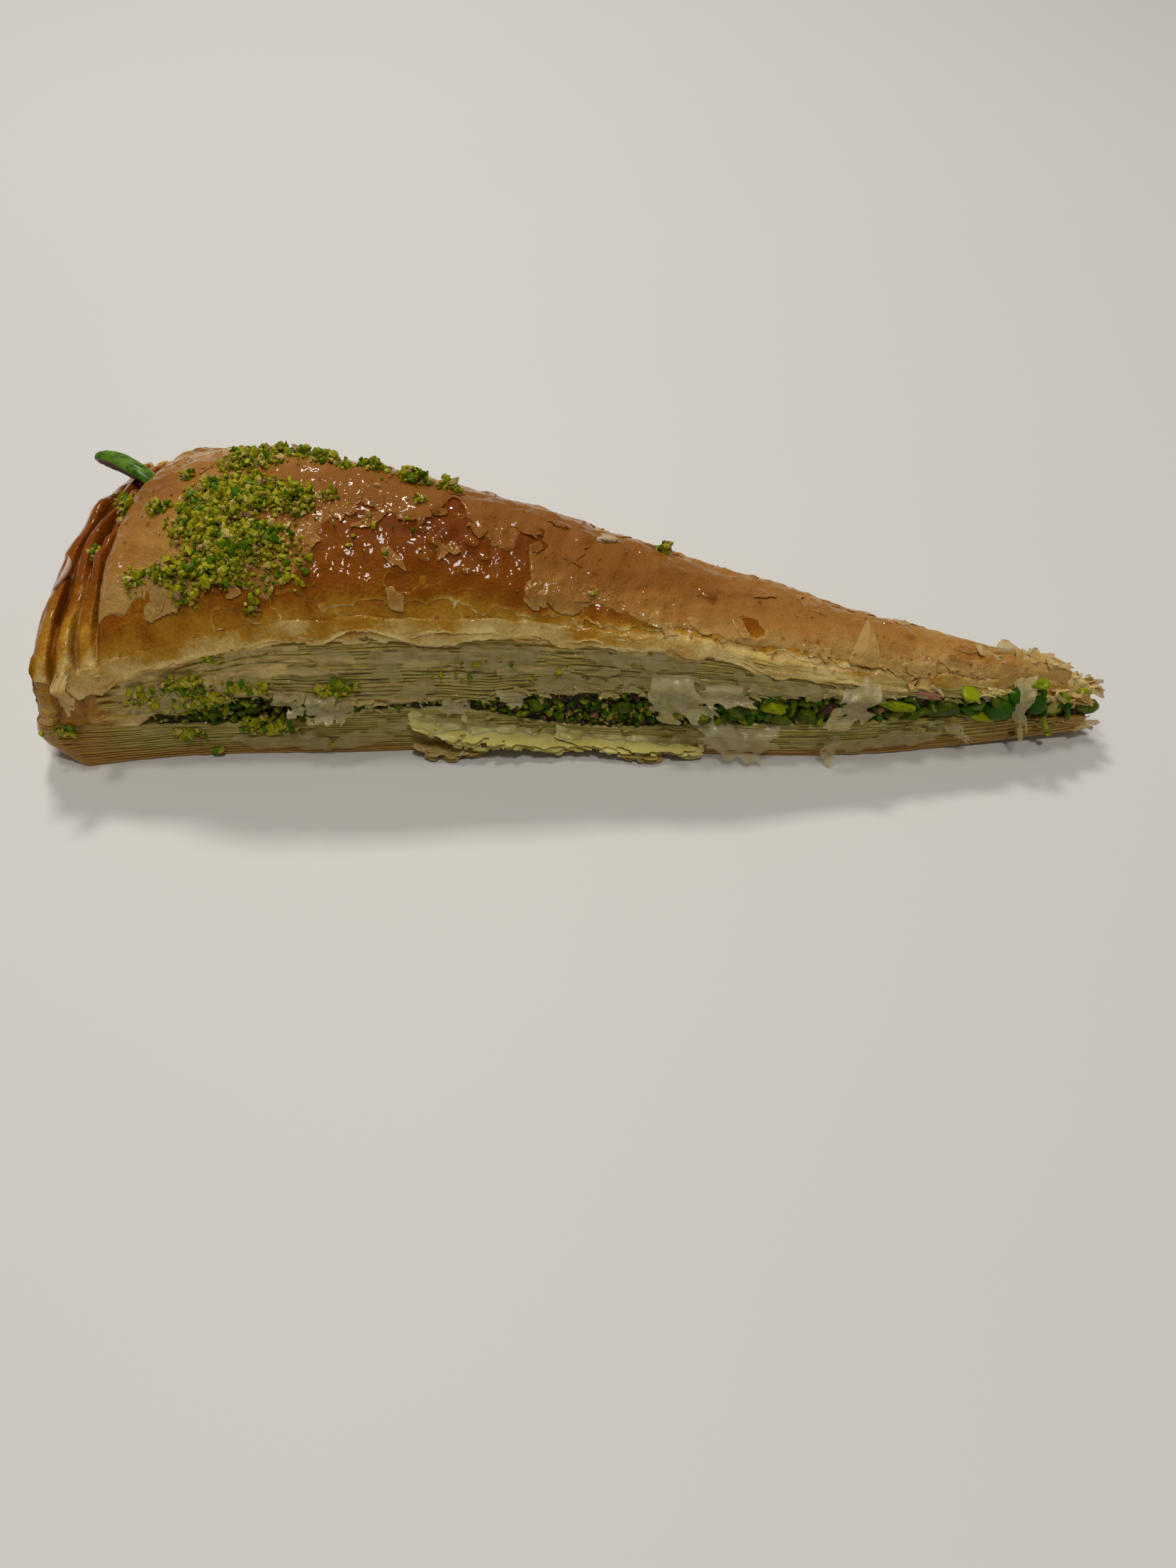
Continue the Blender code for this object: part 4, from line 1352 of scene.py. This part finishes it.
# Nuts picked out along the near cut: x, z, length, height and kind
NEAR_NUTS = (
    (-0.0665, 0.0098, 0.0054, 0.0028, "green"), (-0.0598, 0.0092, 0.0046, 0.0024, "green"),
    (-0.0555, 0.0118, 0.0034, 0.0024, "emerald"), (-0.0120, 0.0108, 0.0032, 0.0024, "green"),
    (0.0030, 0.0112, 0.0036, 0.0026, "green"), (0.0110, 0.0118, 0.0040, 0.0030, "green"),
    (0.0165, 0.0102, 0.0030, 0.0022, "bright"), (0.0220, 0.0114, 0.0054, 0.0032, "green"),
    (0.0285, 0.0126, 0.0052, 0.0030, "bright"), (0.0298, 0.0094, 0.0044, 0.0024, "green"),
    (0.0345, 0.0106, 0.0038, 0.0028, "green"), (0.0385, 0.0120, 0.0042, 0.0022, "skin"),
    (0.0440, 0.0106, 0.0050, 0.0022, "skin"), (0.0495, 0.0124, 0.0068, 0.0026, "bright"),
    (0.0515, 0.0094, 0.0076, 0.0020, "green"), (0.0540, 0.0140, 0.0062, 0.0014, "pink"),
    (0.0578, 0.0108, 0.0066, 0.0034, "green"), (0.0618, 0.0136, 0.0038, 0.0030, "bright"),
    (0.0640, 0.0108, 0.0044, 0.0024, "green"), (0.0682, 0.0095, 0.0056, 0.0050, "emerald"),
    (0.0706, 0.0121, 0.0034, 0.0034, "emerald"), (0.0745, 0.0104, 0.0038, 0.0054, "emerald"),
    (0.0738, 0.0146, 0.0032, 0.0022, "bright"), (0.0655, 0.0079, 0.0052, 0.0015, "bright"),
    (0.0776, 0.0090, 0.0022, 0.0034, "pale"), (0.0790, 0.0110, 0.0026, 0.0020, "bright"),
)
TIP_NUTS = (
    ((0.0846, -0.0014, 0.0074), (0.0052, 0.0030, 0.0028), "green"),
    ((0.0826, -0.0014, 0.0106), (0.0036, 0.0020, 0.0018), "bright"),
)
NUT_KINDS = ("emerald", "green", "bright", "pale", "skin", "pink")


def hollow_depth(x):
    """How deep the filling lies behind the cut, most in the gaping mouth near the rim."""
    return 0.0008 + 0.0022 * math.exp(-(((x + 0.0575) / 0.0085) ** 2))


def filling_bed():
    """The ground bed that the nuts lie in, dark as moist ground nut and with painted shade."""

    def place(along, v, w):
        x = FILLING_START + (FILLING_END - FILLING_START) * along
        near, far = near_cut(x) + hollow_depth(x), far_cut(x) - 0.0010
        y = between(near, far, v)
        shelf, roof = shelf_height(x), roof_height(x)
        z = shelf + (roof - shelf) * w
        if v in (0.0, 1.0):
            y += 0.0006 * noise_at(x * 700, v * 9.0, z * 700)
        return Vector((x + rim_shift(x, y, shelf), y, z)), (0.0, 0.3, 0.0)

    return block(BED_CELLS, place)


def in_filling(point):
    """Moves a point back between the two pastries."""
    x = min(point.x, TIP_X)
    low, high = shelf_height(x) - 0.0002, roof_height(x) + 0.0002
    return Vector((point.x, point.y, min(max(point.z, low), high)))


def packed_nuts(piles, rng, side):
    """Packs chopped nuts along one cut: ground by the rim, coarser towards the tip."""
    x = FILLING_START + 0.0015
    while x < FILLING_END - 0.0015:
        coarse = clamp((x - 0.005) / 0.040)
        shelf, roof = shelf_height(x), roof_height(x)
        z = shelf + 0.0003
        while z < roof:
            size = rng.uniform(0.0007, 0.0021) * (1 + 0.9 * coarse * rng.random())
            mix = (2 + 2 * coarse, 5, 2, 2.4 - 1.4 * coarse, 2.2 - 1.2 * coarse, 0.3)
            kind = rng.choices(NUT_KINDS, mix)[0]
            y = cut(x, side) - side * (hollow_depth(x) * rng.uniform(0.3, 1.0) + 0.0002)
            centre = (x + rng.uniform(-0.0006, 0.0006), y, z + 0.3 * size)
            flat = (size * rng.uniform(1.0, 1.6), size, size * rng.uniform(0.6, 0.95))
            facets = 1 if size < 0.0018 else 2
            lump(piles[kind], centre, flat, any_turn(rng), rng, facets, 0.6, 4, in_filling)
            z += size * 0.75
        x += 0.0011 + 0.0010 * coarse


def picked_nuts(piles, rng):
    """The large nuts that show along the near cut and at the tip."""
    for x, z, length, height, kind in NEAR_NUTS:
        depth = 0.8 * min(length, height) + 0.0008
        y = near_cut(x) + hollow_depth(x) - 0.0010 + 0.18 * depth
        tilt = tilted(rng, (-0.3, 0.3), (-0.25, 0.25), (-0.3, 0.3))
        chops = 0 if kind == "emerald" else 3
        rough = 0.16 if kind == "emerald" else 0.45
        size = (length, depth, height)
        lump(piles[kind], (x, y, z), size, tilt, rng, 3, rough, chops)
    for centre, size, kind in TIP_NUTS:
        lump(piles[kind], centre, size, Euler((0.3, 0.3, 0.2)).to_matrix(), rng, 3, 0.2, 1)


class BAKLAVA_OT_filling(bpy.types.Operator):
    """Fills the wedge with chopped pistachio"""

    bl_idname = "baklava.filling"
    bl_label = "Pistachio filling"

    def execute(self, context):
        colours = context.scene.baklava_colours
        rng = random.Random(context.scene.baklava_sizes.seed)
        # moist ground nut, painted near black as well for the shade between the nuts and in the cavity behind
        # the cut
        ground = nut_flesh("ground_bed_painted_shade", linear("221f06"), linear("40400e"), 0.2)
        piece_from("filling_bed", filling_bed(), ground, ["pistachio_filling"])
        finishes = {
            "emerald": nut_flesh("emerald_nut", colours.nut_emerald, linear("3c6400"), 0.3),
            "green": nut_flesh("green_nut", linear("323e00"), colours.nut_green),
            "bright": nut_flesh("bright_nut", colours.nut_green, colours.nut_bright),
            "pale": nut_flesh("pale_nut", linear("7c7420"), linear("a89a48")),
            "skin": nut_flesh("skinned_nut", linear("2c1a16"), colours.nut_skin, 0.25),
            "pink": nut_flesh("pink_skin", linear("7c5038"), colours.nut_pink, 0.25),
        }
        piles = {kind: Pile() for kind in NUT_KINDS}
        packed_nuts(piles, rng, -1)
        packed_nuts(piles, rng, 1)
        picked_nuts(piles, rng)
        for kind, pile in piles.items():
            piece_from(f"nuts_{kind}", pile.whole(), finishes[kind])
        return {"FINISHED"}


# Ground pistachio on the crust: centre, spread and number of grains
CRUST_PATCHES = (
    ((-0.0620, 0.0085), (0.0050, 0.0030), 300), ((-0.0620, 0.0002), (0.0080, 0.0026), 440),
    ((-0.0600, -0.0030), (0.0095, 0.0026), 640), ((-0.0655, -0.0065), (0.0055, 0.0026), 340),
    ((-0.0600, -0.0095), (0.0088, 0.0024), 560), ((-0.0620, -0.0120), (0.0060, 0.0022), 330),
    ((-0.0625, -0.0146), (0.0046, 0.0018), 170), ((-0.0665, -0.0172), (0.0010, 0.0010), 20),
    ((-0.0706, -0.0139), (0.0034, 0.0018), 120), ((-0.0688, -0.0165), (0.0016, 0.0011), 66),
    ((-0.0766, -0.0146), (0.0020, 0.0016), 40), ((-0.0748, -0.0028), (0.0022, 0.0014), 74),
    ((-0.0724, 0.0055), (0.0012, 0.0012), 16), ((-0.0511, -0.0030), (0.0026, 0.0026), 170),
    ((-0.0533, -0.0132), (0.0055, 0.0030), 80), ((-0.0464, -0.0013), (0.0013, 0.0008), 16),
    ((-0.0569, -0.0180), (0.0013, 0.0011), 16), ((-0.0548, 0.0109), (0.0014, 0.0010), 34),
    ((-0.0499, 0.0096), (0.0021, 0.0014), 96), ((-0.0459, 0.0074), (0.0012, 0.0010), 26),
    ((-0.0412, 0.0078), (0.0026, 0.0012), 90), ((-0.0348, 0.0060), (0.0026, 0.0013), 110),
    ((-0.0321, 0.0002), (0.0015, 0.0008), 18), ((-0.0283, 0.0044), (0.0022, 0.0009), 44),
    ((-0.0600, 0.0150), (0.0070, 0.0030), 150), ((0.0076, 0.0054), (0.0010, 0.0007), 40),
    ((-0.0830, 0.0028), (0.0014, 0.0024), 60), ((-0.0868, -0.0056), (0.0010, 0.0016), 34),
    ((-0.0872, 0.0080), (0.0008, 0.0012), 16), ((-0.0034, -0.0084), (0.0006, 0.0005), 4),
    ((-0.0350, -0.0040), (0.0200, 0.0080), 18),
)
# Ground pistachio stuck to the cut faces: centre (x, z), spread, number of grains and side
FACE_PATCHES = (
    ((-0.0773, 0.0148), (0.0027, 0.0020), 70, -1), ((-0.0703, 0.0172), (0.0036, 0.0018), 130, -1),
    ((-0.0680, 0.0134), (0.0052, 0.0028), 250, -1), ((-0.0598, 0.0164), (0.0036, 0.0013), 90, -1),
    ((-0.0713, 0.0062), (0.0024, 0.0012), 60, -1), ((-0.0584, 0.0070), (0.0050, 0.0016), 120, -1),
    ((-0.0455, 0.0153), (0.0030, 0.0019), 140, -1), ((-0.0418, 0.0161), (0.0008, 0.0008), 10, -1),
    ((-0.0676, 0.0016), (0.0010, 0.0005), 14, -1), ((-0.0476, 0.0029), (0.0008, 0.0008), 14, -1),
    ((-0.0886, 0.0086), (0.0019, 0.0009), 26, -1), ((-0.0645, 0.0222), (0.0022, 0.0008), 30, -1),
    ((-0.0200, 0.0190), (0.0150, 0.0030), 22, -1), ((0.0100, 0.0105), (0.0090, 0.0014), 60, -1),
    ((-0.0660, 0.0130), (0.0060, 0.0030), 120, 1), ((-0.0480, 0.0150), (0.0030, 0.0020), 60, 1),
)
# Ground pistachio on the rim's wall: centre (y, z), spread and number of grains
RIM_PATCHES = (((-0.0192, 0.0140), (0.0022, 0.0020), 50), ((-0.0168, 0.0110), (0.0016, 0.0014), 24))
GRAIN_KINDS = ("bright", "deep", "straw", "skin")


def add_grain(piles, rng, sizes, centre):
    size = min(LARGEST_GRAIN, sizes.grain_size * math.exp(rng.gauss(0.0, 0.45)))
    kind = rng.choices(GRAIN_KINDS, (6.4, 2.0, 1.4, 0.3))[0]
    flat = (size * rng.uniform(0.9, 1.5), size, size * rng.uniform(0.7, 1.0))
    lump(piles[kind], centre, flat, any_turn(rng), rng, 1, 0.9, 1)
    return size


def in_patch(rng, centre, spread):
    """A place in an elliptical patch, denser towards its middle."""
    reach = rng.random() ** 0.65 * (1 + 0.25 * rng.gauss(0, 1))
    angle = rng.uniform(0, math.tau)
    return centre[0] + spread[0] * reach * math.cos(angle), centre[1] + spread[1] * reach * math.sin(angle)


def crust_grains(piles, rng, sizes):
    """Grains strewn over the crust, heaped where many fall."""
    heap = {}
    for centre, spread, count in CRUST_PATCHES:
        for _ in range(round(1.25 * count)):
            x, y = in_patch(rng, centre, spread)
            if x < RIM_X + 0.0010 or abs(across_share(x, y)) > 0.95:
                continue
            cell = (round(x / HEAP_CELL), round(y / HEAP_CELL))
            lift = min(heap.get(cell, 0.0), HEAP_TOP)
            place = crust_point(x, y, 0.0005 + lift, sizes.blister)
            heap[cell] = lift + 0.35 * add_grain(piles, rng, sizes, place)


def face_grains(piles, rng, sizes):
    """Grains that stick to the cut faces and the rim's wall."""
    for centre, spread, count, side in FACE_PATCHES:
        for _ in range(count):
            x, z = in_patch(rng, centre, spread)
            lean = UPPER_LEAN * max(0.0, z - roof_height(x)) / 0.014
            in_mouth = shelf_height(x) < z < roof_height(x)
            deep = hollow_depth(x) * rng.random() if in_mouth else 0.0
            y = cut(x, side) + side * (0.0004 - lean - deep)
            add_grain(piles, rng, sizes, (x + rim_shift(x, y, z), y, max(0.0004, z)))
    for centre, spread, count in RIM_PATCHES:
        for _ in range(count):
            y, z = in_patch(rng, centre, spread)
            add_grain(piles, rng, sizes, (RIM_X - 0.0003 + rim_shift(RIM_X, y, z), y, z))


class BAKLAVA_OT_ground_pistachio(bpy.types.Operator):
    """Strews ground pistachio over the crust and the cut faces"""

    bl_idname = "baklava.ground_pistachio"
    bl_label = "Ground pistachio"

    def execute(self, context):
        sizes = context.scene.baklava_sizes
        rng = random.Random(sizes.seed + 1)
        finishes = {
            "bright": nut_flesh("bright_grain", linear("727400"), linear("a8a01c"), 0.1),
            "deep": nut_flesh("deep_grain", linear("3c5c00"), linear("5c7a06"), 0.1),
            "straw": nut_flesh("straw_grain", linear("a4902c"), linear("c4ac60"), 0.1),
            "skin": nut_flesh("skin_grain", linear("8a5c40"), linear("a88064"), 0.1),
        }
        piles = {kind: Pile() for kind in GRAIN_KINDS}
        crust_grains(piles, rng, sizes)
        face_grains(piles, rng, sizes)
        for kind, pile in piles.items():
            piece_from(f"grains_{kind}", pile.whole(), finishes[kind], crumbly=True)
        return {"FINISHED"}


# Odd bits


def curl_body():
    """A pale curled shaving of nut skin on the outermost fold."""
    root = Vector((-0.0904, -0.0072, 0.0288))
    bow = Vector((-0.0894, -0.0088, 0.0284))
    end = Vector((-0.0914, -0.0130, 0.0266))

    def place(u, v):
        a = root.lerp(bow, u)
        b = bow.lerp(end, u)
        wide = 0.0006 * math.sin(math.pi * (0.06 + 0.88 * u)) * (2 * v - 1)
        rise = 0.0005 * (1 - (2 * v - 1) ** 2)
        return a.lerp(b, u) + Vector((wide, 0.3 * wide, rise)), (0.0, 0.5, 0.0)

    pile = Pile()
    add_sheet(pile, CURL_CELLS, place, lambda u, v: 1.0, 0.00018)
    return pile.whole()


class BAKLAVA_OT_bits(bpy.types.Operator):
    """Adds the pale curl on the rim, the waxy bit on the ridge, a seed and a green strand"""

    bl_idname = "baklava.bits"
    bl_label = "Odd bits"

    def execute(self, context):
        sizes = context.scene.baklava_sizes
        rng = random.Random(sizes.seed + 5)
        shaving = nut_flesh("pink_shaving", linear("b48c74"), linear("d8c0aa"), 0.2)
        piece_from("curl", curl_body(), shaving)
        pile = Pile()
        flat = Euler((0.15, 0.2, 0.3)).to_matrix()
        ridge = crust_point(-0.0019, 0.0028, 0.0006, sizes.blister)
        lump(pile, ridge, (0.0036, 0.0019, 0.0011), flat, rng, 3, 0.5)
        waxy = nut_flesh("waxy_bit", linear("b09070"), linear("d2c0a0"), 0.3)
        piece_from("pale_bit", pile.whole(), waxy)
        pile = Pile()
        lump(pile, (0.0722, near_cut(0.0722) - 0.0006, 0.0034), (0.0012, 0.0009, 0.0010), flat, rng, 2, 0.3)
        brown = nut_flesh("brown_seed", linear("3c2408"), linear("5c3c14"), 0.3)
        piece_from("seed", pile.whole(), brown)
        pile = Pile()
        for i in range(STRAND_LUMPS):
            place = (0.0764 + 0.0005 * i, near_cut(0.0764) - 0.0010, 0.0072 - 0.0009 * i)
            lump(pile, place, (0.0014, 0.0006, 0.0011), any_turn(rng), rng, 2, 0.5)
        strand = nut_flesh("green_strand", linear("7c8410"), linear("a8a830"), 0.3)
        piece_from("strand", pile.whole(), strand)
        return {"FINISHED"}


# Slivered pistachio


def sliver_body():
    """A lengthwise slice of nut: rounded green back, hollow face of brown skin with a pale rim."""
    reach = SLIVER_OUTER - SLIVER_INNER
    half = (reach.length / 2, 0.0024, 0.0021)
    roll = Matrix.Rotation(math.radians(62), 4, "X")
    turn = reach.to_track_quat("X", "Z").to_matrix().to_4x4() @ roll
    middle = Matrix.Translation((SLIVER_INNER + SLIVER_OUTER) / 2)
    bm = bmesh.new()
    bmesh.ops.create_uvsphere(bm, u_segments=48, v_segments=40, radius=1.0)
    bmesh.ops.rotate(bm, matrix=Matrix.Rotation(math.pi / 2, 3, "Y"), verts=bm.verts)
    tint = bm.verts.layers.float_color.new("tint")
    for vert in bm.verts:
        x, y, z = vert.co
        inner = max(0.0, (-0.42 - z) / 0.58)
        blunt = Vector((math.copysign(abs(x) ** 0.75, x), y, max(z, -0.42) + 0.55 * inner))
        wobble = 0.00014 * noise_at(x * 2.5, y * 4, z * 4)
        rim = max(0.0, 1 - abs(z + 0.46) / 0.09)
        vert[tint] = (rim, 0.5, min(1.0, 6 * inner), 1.0)
        bow = Vector((0, wobble, 0.0008 * (1 - x * x) + wobble))
        vert.co = Vector(a * b for a, b in zip(blunt, half)) + bow
    bmesh.ops.transform(bm, matrix=middle @ turn, verts=bm.verts)
    return bm


class BAKLAVA_OT_sliver(bpy.types.Operator):
    """Models the slivered pistachio behind the rim"""

    bl_idname = "baklava.sliver"
    bl_label = "Slivered pistachio"

    def execute(self, context):
        finish = kernel("slivered_kernel")
        piece_from("sliver", sliver_body(), finish, ["pistachio_sliver"])
        return {"FINISHED"}


# Syrup: x, y and radius of the larger beads on the crust
SYRUP_BEADS = (
    (0.0150, -0.0030, 0.0017), (0.0128, -0.0022, 0.0011), (-0.0301, -0.0095, 0.0011),
    (-0.0289, -0.0072, 0.0010), (-0.0229, -0.0062, 0.0011), (-0.0209, -0.0078, 0.0009),
    (-0.0233, -0.0100, 0.0009), (-0.0311, -0.0050, 0.0010), (-0.0255, -0.0015, 0.0010),
    (0.0062, 0.0030, 0.0011), (0.0040, 0.0022, 0.0008), (0.0050, -0.0062, 0.0007),
    (-0.0020, -0.0070, 0.0007), (0.0575, -0.0040, 0.0009), (0.0470, 0.0010, 0.0008),
)


class BAKLAVA_OT_syrup(bpy.types.Operator):
    """Adds beads of syrup on the crust"""

    bl_idname = "baklava.syrup"
    bl_label = "Syrup"

    def execute(self, context):
        sizes = context.scene.baklava_sizes
        rng = random.Random(sizes.seed + 4)
        pile = Pile()
        for x, y, radius in SYRUP_BEADS:
            size = (2.2 * radius, 1.5 * radius, 0.7 * radius)
            turn = Euler((0.2, 0.1, rng.uniform(-0.6, 0.6))).to_matrix()
            lump(pile, crust_point(x, y, 0.0001, sizes.blister), size, turn, rng, 3, 0.25)
        for _ in range(SMALL_BEADS):
            x = rng.uniform(-0.0860, 0.0740)
            y = across(x, rng.uniform(0.05, 0.85) ** 1.4)
            radius = rng.uniform(0.00025, 0.00055)
            size = (2.4 * radius, 1.6 * radius, 0.8 * radius)
            lump(pile, crust_point(x, y, 0.00025, sizes.blister), size, any_turn(rng), rng, 2, 0.2)
        piece_from("syrup_beads", pile.whole(), syrup("amber_syrup", linear("a86410")))
        return {"FINISHED"}


# Stage


# Soft lamps: name, place, width and height in metres, watts and colour
LAMPS = (
    ("window", (-0.22, 0.55, 0.85), (0.16, 0.12), 4.2, (1.0, 0.99, 0.97)),
    ("ceiling_right", (0.14, -0.36, 1.16), (0.16, 0.16), 3.9, (1.0, 0.98, 0.95)),
    ("ceiling_left", (-0.34, 0.05, 1.20), (0.16, 0.16), 3.2, (1.0, 0.98, 0.95)),
)
LAMP_AIM = Vector((0.0, 0.0, 0.01))
ROOM_LIGHT = 0.17
FLOOR_SIZE = 3.0
FLOOR_DROP = 0.00005


def area_light(name, place, size, power, colour):
    lamp = bpy.data.lights.new(name, "AREA")
    lamp.shape = "RECTANGLE"
    lamp.size, lamp.size_y = size
    lamp.energy = power
    lamp.color = colour
    lamp_object = bpy.data.objects.new(name, lamp)
    lamp_object.location = place
    lamp_object.rotation_euler = (LAMP_AIM - Vector(place)).to_track_quat("-Z", "Y").to_euler()
    bpy.context.scene.collection.objects.link(lamp_object)


def add_camera():
    """The camera where the photograph was taken from, held at its slight tilt."""
    camera = bpy.data.cameras.new("camera")
    camera.sensor_width = SENSOR_MM
    camera.lens = FOCAL_PIXELS / FRAME_HEIGHT * SENSOR_MM
    camera.clip_start = 0.01
    camera_object = bpy.data.objects.new("camera", camera)
    back = CAMERA_RIGHT.cross(CAMERA_UP)
    turn = Matrix((CAMERA_RIGHT, CAMERA_UP, back)).transposed().to_4x4()
    camera_object.matrix_world = Matrix.Translation(CAMERA_PLACE) @ turn
    bpy.context.scene.collection.objects.link(camera_object)
    bpy.context.scene.camera = camera_object


class BAKLAVA_OT_stage(bpy.types.Operator):
    """Adds the pale floor, the soft lights and the camera"""

    bl_idname = "baklava.stage"
    bl_label = "Stage"

    def execute(self, context):
        colours = context.scene.baklava_colours
        bm = bmesh.new()
        bmesh.ops.create_grid(bm, x_segments=2, y_segments=2, size=FLOOR_SIZE)
        bmesh.ops.translate(bm, verts=bm.verts, vec=(0.0, 0.0, -FLOOR_DROP))
        mesh = bpy.data.meshes.new("floor")
        bm.to_mesh(mesh)
        bm.free()
        mesh.materials.append(floor_finish(colours.floor))
        floor = bpy.data.objects.new("floor", mesh)
        context.scene.collection.objects.link(floor)
        for lamp in LAMPS:
            area_light(*lamp)
        world = bpy.data.worlds.new("room")
        world.use_nodes = True
        background = world.node_tree.nodes["Background"]
        background.inputs["Color"].default_value = linear("d9d8d4")
        background.inputs["Strength"].default_value = ROOM_LIGHT
        context.scene.world = world
        context.scene.view_settings.view_transform = "Standard"
        add_camera()
        return {"FINISHED"}


class BAKLAVA_PT_panel(bpy.types.Panel):
    """Lists the steps that dress the baklava"""

    bl_idname = "BAKLAVA_PT_panel"
    bl_label = "Baklava Piece"
    bl_space_type = "VIEW_3D"
    bl_region_type = "UI"
    bl_category = "Baklava"

    def draw(self, context):
        for step in STEPS:
            self.layout.operator(step.bl_idname)


STEPS = (
    BAKLAVA_OT_upper_pastry,
    BAKLAVA_OT_outer_skins,
    BAKLAVA_OT_cut_faces,
    BAKLAVA_OT_lower_pastry,
    BAKLAVA_OT_flakes,
    BAKLAVA_OT_filling,
    BAKLAVA_OT_ground_pistachio,
    BAKLAVA_OT_sliver,
    BAKLAVA_OT_bits,
    BAKLAVA_OT_syrup,
    BAKLAVA_OT_stage,
)


def register():
    for kind in (BaklavaSizes, BaklavaColours, *STEPS, BAKLAVA_PT_panel):
        bpy.utils.register_class(kind)
    bpy.types.Scene.baklava_sizes = PointerProperty(type=BaklavaSizes)
    bpy.types.Scene.baklava_colours = PointerProperty(type=BaklavaColours)


def unregister():
    del bpy.types.Scene.baklava_colours
    del bpy.types.Scene.baklava_sizes
    for kind in reversed((BaklavaSizes, BaklavaColours, *STEPS, BAKLAVA_PT_panel)):
        bpy.utils.unregister_class(kind)


def main():
    register()
    bpy.ops.baklava.upper_pastry()
    bpy.ops.baklava.outer_skins()
    bpy.ops.baklava.cut_faces()
    bpy.ops.baklava.lower_pastry()
    bpy.ops.baklava.flakes()
    bpy.ops.baklava.filling()
    bpy.ops.baklava.ground_pistachio()
    bpy.ops.baklava.sliver()
    bpy.ops.baklava.bits()
    bpy.ops.baklava.syrup()
    bpy.ops.baklava.stage()


if __name__ == "__main__":
    main()
